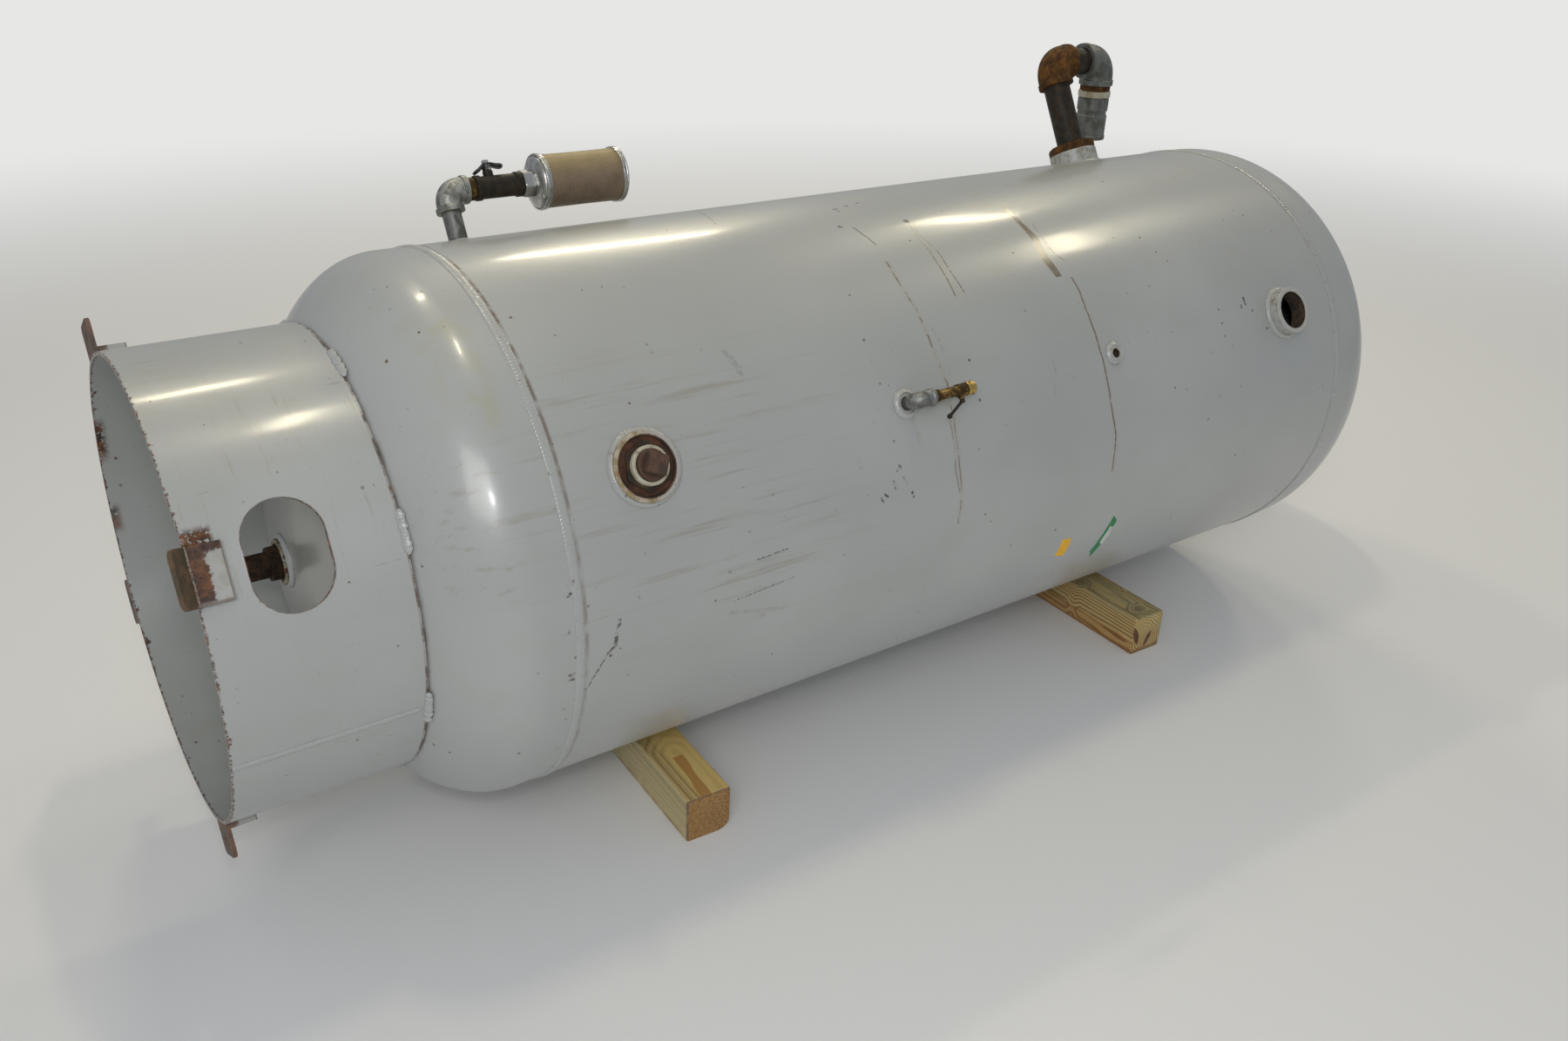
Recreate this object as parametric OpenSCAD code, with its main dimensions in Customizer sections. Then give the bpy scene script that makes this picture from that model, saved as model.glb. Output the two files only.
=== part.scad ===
// Vertical air receiver laid on its side on two timber offcuts, in millimetres.
// The tank axis runs along X, from the base skirt at the low end to the top head.
// Angles round the tank are counted from straight up towards the viewer's side, -Y.
// The frame's origin lies on the floor, under the middle of the left timber.

/* [Vessel] */
// Outside diameter of the shell
shell_od = 914.4; // [800:1:1050]
// Length of the shell from girth seam to girth seam
shell_length = 1829; // [1500:1:2400]
// Thickness of the shell and head plate
plate = 6.35; // [4:0.05:10]
// Straight flange of each head
head_flange = 50.8; // [30:0.1:80]
// Depth of each head's outer dish, past its straight flange
head_depth = 235; // [180:1:280]
// Width of the weld band round each girth seam
girth_weld_width = 16; // [8:1:24]
// Height of the girth weld bands over the shell
girth_weld_height = 2.4; // [1:0.1:4]
// Angle of the shell's long seam, on the far side
long_seam_angle = -74; // [-85:1:-60]

/* [Base skirt] */
// Outside diameter of the skirt
skirt_od = 729.6; // [640:0.1:780]
// Thickness of the skirt plate
skirt_plate = 6.35; // [4:0.05:10]
// Distance from the girth seam to the skirt's open rim
skirt_reach = 475; // [430:1:600]
// Width of the access hole, along the tank
access_width = 108; // [80:1:130]
// Length of the access hole, round the skirt
access_length = 156; // [132:1:180]
// Distance from the rim to the middle of the access hole
access_inset = 123; // [95:1:130]
// Angle of the skirt's long seam
skirt_seam_angle = 107; // [96:1:120]
// Gap between the skirt's cut end and the head
skirt_gap = 0.3; // [0.2:0.1:0.6]

/* [Foot clips] */
// Width of a clip, round the skirt
clip_width = 80; // [60:1:100]
// Length of the leg that is welded to the skirt
clip_leg = 45; // [35:1:60]
// Length of the flange that stands out from the skirt
clip_flange = 52; // [40:1:60]
// Thickness of the clip
clip_plate = 6; // [4:0.5:8]
// Diameter of the hold-down bolt hole
clip_hole_d = 14; // [10:0.5:18]
// Distance from the skirt to the middle of the bolt hole
clip_hole_out = 29; // [24:0.5:34]
// Angle by which the viewer's clip has been knocked out of true
clip_bend = 30; // [0:1:40]

/* [Ports] */
// Angle of the viewer's row of ports
front_angle = 61; // [45:1:75]
// Angle of the far row of ports
back_angle = -29; // [-45:1:-15]
// Place of the plugged port along the tank
plug_x = 142; // [110:1:220]
// Place of the drain cock's port
cock_x = 638; // [500:1:760]
// Place of the gauge port
gauge_x = 1146; // [1000:1:1300]
// Distance from the open outlet port to the top head's seam
outlet_inset = 169; // [120:1:260]
// Place of the inlet port
inlet_x = 132; // [110:1:220]
// Distance from the riser port to the top head's seam
riser_inset = 165; // [120:1:260]
// Leg of the weld fillet round the large couplings
port_weld = 7; // [4:0.5:10]
// Radial clearance of a screwed joint
thread_gap = 0.2; // [0.1:0.05:0.4]

/* [Plugged port] */
// Outside diameter of the large couplings
large_coupling_od = 108; // [102:0.5:114]
// Outside diameter of the pipe that the large couplings take
large_pipe_od = 88.9; // [86:0.1:92]
// Distance that the plugged coupling stands out of the shell
plug_coupling_out = 9; // [6:0.5:20]
// Outside diameter of the inner bushing
inner_bushing_od = 60.3; // [56:0.1:64]
// Distance of the inner bushing's face from the shell
inner_bushing_out = 22; // [16:0.5:30]
// Diameter of the pipe plug
pipe_plug_od = 48.3; // [44:0.1:50]
// Distance of the plug's shoulder from the shell
pipe_plug_out = 29; // [24:0.5:34]
// Side of the plug's square head
pipe_plug_square = 29; // [20:0.5:32]
// Height of the plug's square head
pipe_plug_head = 17; // [10:0.5:24]

/* [Drain cock] */
// Outside diameter of the cock's half coupling
cock_coupling_od = 36; // [32:0.5:40]
// Outside diameter of the half-inch pipe
cock_pipe_od = 21.3; // [20:0.1:23]
// Height of the street elbow's centre over the shell
cock_height = 36; // [34:0.5:46]
// Reach of the street elbow, centre to face
cock_reach = 31; // [26:0.5:34]
// Outside diameter of the street elbow's body
cock_elbow_od = 27; // [25:0.5:29]
// Diameter of the cock's brass body
cock_body_d = 22; // [20:0.5:26]
// Length of the cock's brass body
cock_body_length = 72; // [56:1:84]
// Length of the bright end piece
cock_end_length = 17; // [14:1:30]
// Length of the cock's lever
cock_lever_length = 40; // [28:1:44]
// Diameter of the lever's rod
cock_lever_d = 5; // [4:0.5:6]

/* [Gauge port] */
// Outside diameter of the gauge coupling
gauge_coupling_od = 28.6; // [26:0.1:32]
// Radius of the gauge coupling's hole
gauge_hole_r = 8; // [6:0.1:9]
// Distance that the gauge coupling stands out of the shell
gauge_out = 6; // [4:0.5:12]

/* [Outlet port] */
// Outside diameter of the outlet coupling
outlet_coupling_od = 96; // [90:0.5:100]
// Radius of the outlet coupling's hole
outlet_hole_r = 37.5; // [35:0.1:40]
// Distance that the outlet coupling stands out of the shell
outlet_out = 25; // [15:0.5:35]

/* [Inlet line] */
// Outside diameter of the inlet coupling
inlet_coupling_od = 44.5; // [42:0.5:48]
// Outside diameter of the one-inch pipe
inlet_pipe_od = 33.4; // [32:0.1:35]
// Height of the inlet elbow's centre over the shell
inlet_height = 97; // [80:1:120]
// Reach of the inlet elbow, centre to face
inlet_reach = 38; // [36:0.5:44]
// Outside diameter of the inlet elbow's body
inlet_elbow_od = 44; // [42:0.5:48]
// Length of the bare brass between elbow and valve
brass_gap = 14; // [8:1:24]
// Diameter of the ball valve's body
valve_d = 44; // [40:1:50]
// Length of the ball valve's body
valve_length = 89; // [76:1:110]
// Height of the valve's stem over its body
valve_stem_out = 20; // [16:1:26]
// Span of the valve's handle
handle_span = 62; // [50:1:80]
// Across flats of the filter's hub
hub_flats = 44; // [40:1:50]
// Length of the filter's hub
hub_length = 20; // [16:1:28]
// Outside diameter of the filter
filter_d = 101; // [90:1:110]
// Length of the filter, cap and end ring included
filter_length = 174; // [150:1:210]

/* [Riser] */
// Distance that the riser coupling stands out of the shell
riser_coupling_out = 34; // [24:1:44]
// Across flats of the riser's hex bushing
riser_flats = 95; // [88:1:100]
// Height of the bushing's hex head
riser_hex = 18; // [12:1:24]
// Outside diameter of the two-inch pipe
riser_pipe_od = 60.3; // [58:0.1:63]
// Height of the riser elbow's centre over the shell
riser_height = 249; // [200:1:300]
// Reach of the two-inch elbows, centre to face
riser_reach = 57; // [54:0.5:62]
// Outside diameter of the two-inch elbows' bodies
riser_elbow_od = 76; // [72:0.5:80]
// Length of bare pipe between the two elbows
cross_gap = 50; // [40:1:90]
// Diameter of the relief valve's barrel
relief_d = 74; // [68:1:80]
// Length of the relief valve's barrel
relief_length = 99; // [70:1:110]

/* [Bottom drain] */
// Outside diameter of the drain coupling
drain_coupling_od = 76; // [70:0.5:80]
// Distance that the drain coupling stands out of the head
drain_coupling_out = 10; // [6:0.5:14]
// Across flats of the drain bushing
drain_flats = 54; // [50:1:60]
// Outside diameter of the drain nipple
drain_pipe_od = 42.2; // [40:0.1:44]
// Length of bare drain nipple
drain_nipple_length = 58; // [40:1:80]

/* [Timbers] */
// Side of each square timber
timber = 89; // [75:0.5:110]
// Length of each timber
timber_length = 745; // [650:1:850]
// Place of the left timber's middle, from the first seam
left_timber_x = 299; // [220:1:400]
// Distance from the right timber's middle to the top head's seam
right_timber_inset = 373; // [280:1:480]
// Angle of the left timber out of square
left_timber_yaw = -3; // [-4:0.5:4]
// Angle of the right timber out of square
right_timber_yaw = -1.5; // [-4:0.5:4]
// Clearance between the shell and the timbers
timber_gap = 0.2; // [0.1:0.1:0.4]

/* [Hidden] */

$fn = 96;
paint = "#b4b8ba";
rust = "#6e4630";
galvanised = "#a9abaa";
brass = "#a07c34";
bright_steel = "#c9c9c7";
dark_iron = "#3b3936";
pine = "#b08a52";

shell_r = shell_od / 2;
skirt_r = skirt_od / 2;
axis_z = timber + timber_gap + shell_r;
outlet_x = shell_length - outlet_inset;
riser_x = shell_length - riser_inset;
right_timber_x = shell_length - right_timber_inset;
// Steps along a head's curve
dish_steps = 30;
// Small lift that keeps welds off the plate they lie on
weld_lift = 0.1;
// Facets of a cylinder that shapes the underside of a thin piece
fine = 720;
// Depth to which a coupling passes inside the shell plate
coupling_in = 2;

// Place of the outer head curve along the axis, past the seam, at a radius
function dish(radius) = head_flange + head_depth * sqrt(1 - pow(radius / shell_r, 2));
// Place of the skirt's cut end, past the seam: its inner edge lies on the head
skirt_end = dish(skirt_r - skirt_plate) + skirt_gap;
crown = head_flange + head_depth;
// How far the shell falls away from a tangent plane, at a distance from the touching line
function fall(side) = shell_r - sqrt(pow(shell_r, 2) - pow(side, 2));

// Moves the tank from its own axis into the part's frame
module on_tank() {
    translate([-left_timber_x, 0, axis_z]) children();
}
// A place at an angle round the tank: local Z points away from the axis
module at_port(x, angle, radius = 0) {
    translate([x, 0, 0]) rotate([angle, 0, 0]) translate([0, 0, radius]) children();
}
// A tube along Z from one height to another
module tube(outer, inner, low, high) {
    translate([0, 0, low]) difference() {
        cylinder(h = high - low, d = outer);
        translate([0, 0, -1]) cylinder(h = high - low + 2, d = inner);
    }
}
// A hexagonal collar along Z with a round bore
module hex_collar(flats, inner, low, high) {
    translate([0, 0, low]) difference() {
        cylinder(h = high - low, d = flats / cos(30), $fn = 6);
        translate([0, 0, -1]) cylinder(h = high - low + 2, d = inner);
    }
}
// A quarter bend with a rim round each mouth: one mouth faces -Z, the other +X
module elbow(reach, body, rim, rim_length, bore, mouth) {
    bend = body / 2 + 1;
    difference() {
        union() {
            translate([bend, 0, -bend]) rotate([90, 0, 0]) rotate([0, 0, 90])
                rotate_extrude(angle = 90) translate([bend, 0]) circle(d = body);
            translate([0, 0, -reach]) cylinder(h = reach - bend, d = body);
            translate([bend, 0, 0]) rotate([0, 90, 0]) cylinder(h = reach - bend, d = body);
            translate([0, 0, -reach]) cylinder(h = rim_length, d = rim);
            translate([reach - rim_length, 0, 0]) rotate([0, 90, 0]) cylinder(h = rim_length, d = rim);
        }
        translate([bend, 0, -bend]) rotate([90, 0, 0]) rotate([0, 0, 90])
            rotate_extrude(angle = 90) translate([bend, 0]) circle(d = bore);
        translate([0, 0, -reach - 1]) cylinder(h = reach - bend + 1.01, d = mouth);
        translate([bend - 0.01, 0, 0]) rotate([0, 90, 0]) cylinder(h = reach - bend + 1.01, d = mouth);
    }
}

// A weld bead along X, flat below and crowned above
module bead(length, width, height) {
    rotate([90, 0, 90]) linear_extrude(length)
        polygon([for (i = [0 : 8]) let (t = 180 * i / 8) [width / 2 * cos(t), height * sin(t)]]);
}
// The hole that a coupling stands in
module port_hole(x, angle, od) {
    at_port(x, angle) cylinder(h = shell_r + 50, d = od + 2 * thread_gap);
}

// Shell with a hole for each coupling
module shell() {
    color(paint) on_tank() difference() {
        rotate([0, 90, 0]) tube(shell_od, shell_od - 2 * plate, 0, shell_length);
        port_hole(plug_x, front_angle, large_coupling_od);
        port_hole(cock_x, front_angle, cock_coupling_od);
        port_hole(gauge_x, front_angle, gauge_coupling_od);
        port_hole(outlet_x, front_angle, outlet_coupling_od);
        port_hole(inlet_x, back_angle, inlet_coupling_od);
        port_hole(riser_x, back_angle, large_coupling_od);
    }
}
long_seam_width = 12;
long_seam_height = 2;
module shell_long_seam() {
    color(paint) on_tank() at_port(girth_weld_width, long_seam_angle, shell_r + weld_lift)
        bead(shell_length - 2 * girth_weld_width, long_seam_width, long_seam_height);
}

// Heads: a straight flange and an elliptical dish, of one thickness
module dished_head() {
    inner_r = shell_r - plate;
    inner_depth = head_depth - plate;
    outer_curve = [for (i = [0 : dish_steps]) let (t = 90 * i / dish_steps)
        [i == dish_steps ? 0 : shell_r * cos(t), head_flange + head_depth * sin(t)]];
    inner_curve = [for (i = [0 : dish_steps]) let (t = 90 - 90 * i / dish_steps)
        [i == 0 ? 0 : inner_r * cos(t), head_flange + inner_depth * sin(t)]];
    rotate_extrude() polygon(concat([[shell_r, 0]], outer_curve, inner_curve, [[inner_r, 0]]));
}
module head_bottom() {
    color(paint) on_tank() rotate([0, -90, 0]) difference() {
        dished_head();
        cylinder(h = crown + 10, d = drain_coupling_od + 2 * thread_gap);
    }
}
module head_top() {
    color(paint) on_tank() translate([shell_length, 0, 0]) rotate([0, 90, 0]) dished_head();
}
// A girth weld: a low crowned band just off the plate
module girth_weld() {
    half = girth_weld_width / 2;
    arc = [for (i = [0 : 8]) let (t = 180 * i / 8)
        [shell_r + weld_lift + girth_weld_height * sin(t), -half * cos(t)]];
    rotate([0, 90, 0]) rotate_extrude() polygon(arc);
}
module girth_weld_bottom() {
    color(paint) on_tank() girth_weld();
}
module girth_weld_top() {
    color(paint) on_tank() translate([shell_length, 0, 0]) girth_weld();
}

// Base skirt: a ring of plate with one obround access hole
module base_skirt() {
    straight = access_length - access_width;
    color(paint) on_tank() difference() {
        rotate([0, -90, 0]) tube(skirt_od, skirt_od - 2 * skirt_plate, skirt_end, skirt_reach);
        at_port(-skirt_reach + access_inset, front_angle, skirt_r - 60) {
            for (side = [-1, 1]) translate([0, side * straight / 2, 0]) cylinder(h = 120, d = access_width);
            translate([-access_width / 2, -straight / 2, 0]) cube([access_width, straight, 120]);
        }
    }
}
// Short welds in the open corner between the skirt's cut end and the head
stitch_count = 8;
stitch_first = 17;
stitch_span = 9;
stitch_leg = 7;
skirt_seam_width = 11;
skirt_seam_height = 2.4;
module skirt_seam_weld() {
    color(paint) on_tank() at_port(-skirt_reach, skirt_seam_angle, skirt_r + weld_lift)
        bead(skirt_reach - skirt_end - stitch_leg - 1, skirt_seam_width, skirt_seam_height);
}
module skirt_stitch_welds() {
    color(paint) on_tank() rotate([0, -90, 0]) difference() {
        for (i = [0 : stitch_count - 1]) rotate([0, 0, -stitch_first - 360 * i / stitch_count - stitch_span / 2])
            rotate_extrude(angle = stitch_span) translate([skirt_r, skirt_end]) circle(r = stitch_leg, $fn = 24);
        translate([0, 0, skirt_end - weld_lift])
            cylinder(h = 40, r = skirt_r + weld_lift, $fn = fine);
        rotate_extrude() polygon(concat([[0, 0], [shell_r, 0]], [for (i = [0 : dish_steps])
            let (t = 90 * i / dish_steps) [(shell_r + weld_lift) * cos(t),
            head_flange + (head_depth + weld_lift) * sin(t)]]));
    }
}

// Foot clips: an angle welded to the skirt's rim, its flange drilled for a bolt
module foot_clip(angle, bend) {
    corner = 14;
    at_port(-skirt_reach, angle) difference() {
        union() {
            translate([0, -clip_width / 2, skirt_r - 4]) cube([clip_leg, clip_width, clip_plate + 4]);
            translate([0, 0, skirt_r]) rotate([0, -bend, 0]) difference() {
                rotate([90, 0, 90]) linear_extrude(clip_plate) hull() {
                    translate([-clip_width / 2, 0]) square([clip_width, 1]);
                    for (side = [-1, 1]) translate([side * (clip_width / 2 - corner), clip_flange - corner])
                        circle(r = corner, $fn = 32);
                }
                translate([-5, 0, clip_hole_out]) rotate([0, 90, 0]) cylinder(h = clip_plate + 10, d = clip_hole_d);
            }
        }
        translate([-60, 0, 0]) rotate([0, 90, 0]) cylinder(h = 200, r = skirt_r + weld_lift, $fn = fine);
    }
}
module foot_clip_front() {
    color(rust) on_tank() foot_clip(front_angle, clip_bend);
}
module foot_clip_lower() {
    color(paint) on_tank() foot_clip(front_angle + 90, 0);
}
module foot_clip_back() {
    color(paint) on_tank() foot_clip(front_angle + 180, 0);
}
module foot_clip_top() {
    color(paint) on_tank() foot_clip(front_angle - 90, 0);
}

// Bottom drain, on the axis inside the skirt: local Z points out of the head
drain_face = crown + drain_coupling_out;
drain_thread = 14;
drain_hex = 16;
module drain_coupling() {
    color(rust) on_tank() rotate([0, -90, 0])
        tube(drain_coupling_od, inner_bushing_od + 2 * thread_gap, crown - plate - 8, drain_face);
}
module drain_bushing() {
    color(dark_iron) on_tank() rotate([0, -90, 0]) {
        tube(inner_bushing_od, drain_pipe_od + 2 * thread_gap, drain_face - drain_thread, drain_face);
        hex_collar(drain_flats, drain_pipe_od + 2 * thread_gap, drain_face, drain_face + drain_hex);
    }
}
module drain_nipple() {
    color(dark_iron) on_tank() rotate([0, -90, 0])
        tube(drain_pipe_od, drain_pipe_od - 7, drain_face, drain_face + drain_hex + drain_nipple_length);
}

// Weld fillets round the couplings: local Z is counted from the axis
module port_weld_ring(x, angle, od, leg) {
    inner = od / 2 + weld_lift;
    reach = inner + leg + 10;
    drop = fall(inner + leg);
    arc = [for (i = [0 : 6]) let (t = 90 * i / 6)
        [inner + leg * cos(t), shell_r - drop + (leg + drop) * sin(t)]];
    difference() {
        at_port(x, angle) rotate_extrude()
            polygon(concat([[inner, shell_r - 10], [inner + leg, shell_r - 10]], arc));
        translate([x - reach, 0, 0]) rotate([0, 90, 0])
            cylinder(h = 2 * reach, r = shell_r + weld_lift, $fn = fine);
    }
}
// The same fillet round the drain coupling, on the crown of the bottom head
module drain_weld_ring(leg) {
    inner = drain_coupling_od / 2 + weld_lift;
    arc = [for (i = [0 : 6]) let (t = 90 * i / 6)
        [inner + leg * cos(t), dish(inner + leg) + weld_lift + leg * sin(t)]];
    rotate([0, -90, 0]) rotate_extrude() polygon(concat([[inner, dish(inner) + weld_lift]], arc));
}
small_weld = 8;
module port_welds() {
    color(paint) on_tank() {
        drain_weld_ring(port_weld);
        port_weld_ring(plug_x, front_angle, large_coupling_od, port_weld);
        port_weld_ring(cock_x, front_angle, cock_coupling_od, small_weld);
        port_weld_ring(gauge_x, front_angle, gauge_coupling_od, small_weld);
        port_weld_ring(outlet_x, front_angle, outlet_coupling_od, port_weld);
        port_weld_ring(inlet_x, back_angle, inlet_coupling_od, port_weld);
        port_weld_ring(riser_x, back_angle, large_coupling_od, port_weld);
    }
}

// Plugged port: coupling, flush bushing, smaller bushing and square-head plug
large_bore = large_pipe_od + 2 * thread_gap;
port_low = shell_r - plate - coupling_in;
module plug_coupling() {
    color(paint) on_tank() at_port(plug_x, front_angle)
        tube(large_coupling_od, large_bore, port_low, shell_r + plug_coupling_out);
}
bushing_recess = 2;
module plug_outer_bushing() {
    color(rust) on_tank() at_port(plug_x, front_angle)
        tube(large_pipe_od, inner_bushing_od + 2 * thread_gap, port_low + 6, shell_r + plug_coupling_out - bushing_recess);
}
module plug_inner_bushing() {
    color("#c9c2a8") on_tank() at_port(plug_x, front_angle)
        tube(inner_bushing_od, pipe_plug_od + 2 * thread_gap, port_low + 8, shell_r + inner_bushing_out);
}
module pipe_plug() {
    side = pipe_plug_square;
    color(rust) on_tank() at_port(plug_x, front_angle) {
        translate([0, 0, port_low + 10])
            cylinder(h = shell_r + pipe_plug_out - port_low - 10, d = pipe_plug_od);
        translate([-side / 2, -side / 2, shell_r + pipe_plug_out]) cube([side, side, pipe_plug_head]);
    }
}

// Drain cock: flush half coupling, street elbow, brass body, bright end and lever
cock_coupling_out = 4;
module cock_coupling() {
    color(paint) on_tank() at_port(cock_x, front_angle)
        tube(cock_coupling_od, cock_pipe_od + 2 * thread_gap, port_low, shell_r + cock_coupling_out);
}
cock_thread = 12;
module cock_elbow() {
    color(galvanised) on_tank() at_port(cock_x, front_angle, shell_r + cock_height) {
        translate([0, 0, -cock_height - cock_thread])
            tube(cock_pipe_od, cock_pipe_od - 6, 0, cock_height + cock_thread - cock_elbow_od / 2 - 1);
        street_bend();
    }
}
// The street elbow's bend and its one female mouth
module street_bend() {
    bend = cock_elbow_od / 2 + 1;
    difference() {
        union() {
            translate([bend, 0, -bend]) rotate([90, 0, 0]) rotate([0, 0, 90])
                rotate_extrude(angle = 90) translate([bend, 0]) circle(d = cock_elbow_od);
            translate([0, 0, -bend - 5]) cylinder(h = 5, d = cock_elbow_od);
            translate([bend, 0, 0]) rotate([0, 90, 0]) cylinder(h = cock_reach - bend, d = cock_elbow_od);
            translate([cock_reach - 7, 0, 0]) rotate([0, 90, 0]) cylinder(h = 7, d = cock_elbow_od + 3);
        }
        translate([bend, 0, -bend]) rotate([90, 0, 0]) rotate([0, 0, 90])
            rotate_extrude(angle = 90) translate([bend, 0]) circle(d = cock_pipe_od - 6);
        translate([0, 0, -bend - 6]) cylinder(h = 6.01, d = cock_pipe_od - 6);
        translate([bend - 0.01, 0, 0]) rotate([0, 90, 0])
            cylinder(h = cock_reach, d = cock_pipe_od + 2 * thread_gap);
    }
}
cock_bore = 11;
cock_line_z = shell_r + cock_height;
cock_end_x = cock_reach + cock_body_length;
cock_stem_x = cock_end_x - 12;
cock_stem_out = 18;
module cock_body() {
    color(brass) on_tank() at_port(cock_x, front_angle, cock_line_z) rotate([0, 90, 0]) {
        tube(cock_pipe_od, cock_bore, cock_reach - cock_thread, cock_reach);
        tube(cock_body_d, cock_bore, cock_reach, cock_reach + cock_body_length);
    }
    color(brass) on_tank() at_port(cock_x + cock_stem_x, front_angle, cock_line_z) rotate([90, 0, 0])
        tube(11, 6, cock_body_d / 2 - 1.5, cock_boss_out);
}
module cock_end() {
    color("#c79a3a") on_tank() at_port(cock_x, front_angle, cock_line_z) rotate([0, 90, 0])
        tube(cock_body_d + 2, cock_bore, cock_end_x, cock_end_x + cock_end_length);
}
// The lever turns on a stem that points down the side of the tank
cock_boss_out = cock_body_d / 2 + 3;
module cock_lever() {
    tilt = 60;
    low = cock_boss_out + 0.3;
    color(dark_iron) on_tank() at_port(cock_x + cock_stem_x, front_angle, cock_line_z) rotate([90, 0, 0]) {
        translate([0, 0, low]) cylinder(h = cock_stem_out - low + 4, d = 9);
        translate([0, 0, cock_stem_out]) rotate([0, -tilt, 0]) {
            cylinder(h = cock_lever_length, d = cock_lever_d);
            translate([0, 0, cock_lever_length]) sphere(d = cock_lever_d + 4);
        }
    }
}

// Gauge port and open outlet port
module gauge_coupling() {
    color(paint) on_tank() at_port(gauge_x, front_angle)
        tube(gauge_coupling_od, 2 * gauge_hole_r, port_low, shell_r + gauge_out);
}
module outlet_coupling() {
    color(paint) on_tank() at_port(outlet_x, front_angle)
        tube(outlet_coupling_od, 2 * outlet_hole_r, port_low, shell_r + outlet_out);
}

// Inlet line: coupling, nipple, elbow, brass nipple, ball valve and intake filter
inlet_line_z = shell_r + inlet_height;
inlet_coupling_out = 9;
inlet_thread = 14;
module inlet_coupling() {
    color(paint) on_tank() at_port(inlet_x, back_angle)
        tube(inlet_coupling_od, inlet_pipe_od + 2 * thread_gap, port_low, shell_r + inlet_coupling_out);
}
inlet_wall = 3.4;
module inlet_nipple() {
    color(galvanised) on_tank() at_port(inlet_x, back_angle)
        tube(inlet_pipe_od, inlet_pipe_od - 2 * inlet_wall, shell_r - 6, inlet_line_z - inlet_reach + inlet_thread);
}
module inlet_elbow() {
    color(galvanised) on_tank() at_port(inlet_x, back_angle, inlet_line_z)
        elbow(inlet_reach, inlet_elbow_od, inlet_elbow_od + 6, 9, inlet_pipe_od - 2 * inlet_wall,
            inlet_pipe_od + 2 * thread_gap);
}
// Places along the inlet line, from the elbow's centre
inlet_valve_x = inlet_reach + brass_gap;
filter_hub_x = inlet_valve_x + valve_length;
filter_x = filter_hub_x + hub_length;
module inlet_line(x = 0) {
    on_tank() at_port(inlet_x + x, back_angle, inlet_line_z) rotate([0, 90, 0]) children();
}
module inlet_brass_nipple() {
    color(brass) inlet_line() {
        tube(inlet_pipe_od, 25, inlet_reach - inlet_thread, inlet_valve_x);
        hex_collar(inlet_pipe_od + 4, 25, inlet_reach + 1, inlet_valve_x - 1);
    }
}
valve_stem_x = valve_length / 2 - 12;
valve_bore = 25;
module inlet_valve_body() {
    rim = 12;
    color(dark_iron) inlet_line(inlet_valve_x) {
        tube(valve_d - 4, valve_bore, 0, valve_length);
        tube(valve_d, valve_bore, 0, rim);
        tube(valve_d, valve_bore, valve_length - rim, valve_length);
    }
    color(dark_iron) on_tank() at_port(inlet_x + inlet_valve_x + valve_stem_x, back_angle, inlet_line_z)
        tube(18, 10, valve_d / 2 - 4, valve_d / 2 + 6);
}
// A stamped butterfly handle on the valve's stem
module inlet_valve_handle() {
    seat = valve_d / 2 + 6 + 0.3;
    top = valve_d / 2 + valve_stem_out;
    wing = 14;
    wing_plate = 3;
    color("#232323") on_tank() at_port(inlet_x + inlet_valve_x + valve_stem_x, back_angle, inlet_line_z) {
        translate([0, 0, seat]) cylinder(h = top - seat, d = 16);
        translate([0, 0, top]) cylinder(h = 7, d = 12 / cos(30), $fn = 6);
        for (side = [0, 180]) rotate([0, 0, side]) translate([4, -wing / 2, top - wing_plate])
            rotate([0, side == 0 ? 6 : 24, 0]) cube([handle_span / 2 - 4, wing, wing_plate]);
    }
}
module filter_hub() {
    color(bright_steel) inlet_line(filter_hub_x)
        hex_collar(hub_flats, valve_bore, 0, hub_length);
}
cap_length = 20;
end_ring_length = 10;
rim_plate = 2;
module filter_cap() {
    flat = hub_flats / 2 - 2;
    outer = filter_d / 2;
    dome = [for (i = [0 : 10]) let (t = 90 * i / 10)
        [flat + (outer - 4 - flat) * sin(t), 12 * (1 - cos(t))]];
    color(bright_steel) inlet_line(filter_x) difference() {
        rotate_extrude() polygon(concat([[0, 0]], dome, [[outer - 4, 12], [outer, 13], [outer, cap_length],
            [0, cap_length]]));
        translate([0, 0, -1]) cylinder(h = cap_length + 2, d = valve_bore);
    }
}
module filter_element() {
    color("#a58d66") inlet_line(filter_x)
        tube(filter_d - 5, filter_d - 25, cap_length, filter_length - end_ring_length);
}
module filter_end_ring() {
    color(bright_steel) inlet_line(filter_x + filter_length - end_ring_length) {
        cylinder(h = rim_plate, d = filter_d);
        tube(filter_d, filter_d - 2 * rim_plate, 0, end_ring_length);
    }
}

// Riser: tall coupling, hex bushing, pipe, elbow, cross nipple, second elbow and relief valve
riser_wall = 3.9;
riser_line_z = shell_r + riser_height;
riser_thread = 18;
module riser_coupling() {
    color(paint) on_tank() at_port(riser_x, back_angle)
        tube(large_coupling_od, large_bore, port_low, shell_r + riser_coupling_out);
}
riser_bore = riser_pipe_od + 2 * thread_gap;
module riser_bushing() {
    face = shell_r + riser_coupling_out;
    color(rust) on_tank() at_port(riser_x, back_angle) {
        tube(large_pipe_od, riser_bore, face - 24, face);
        hex_collar(riser_flats, riser_bore, face, face + riser_hex);
    }
}
module riser_pipe() {
    low = shell_r + riser_coupling_out - 16;
    color(rust) on_tank() at_port(riser_x, back_angle)
        tube(riser_pipe_od, riser_pipe_od - 2 * riser_wall, low, riser_line_z - riser_reach + riser_thread);
}
riser_rim = riser_elbow_od + 5;
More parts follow.
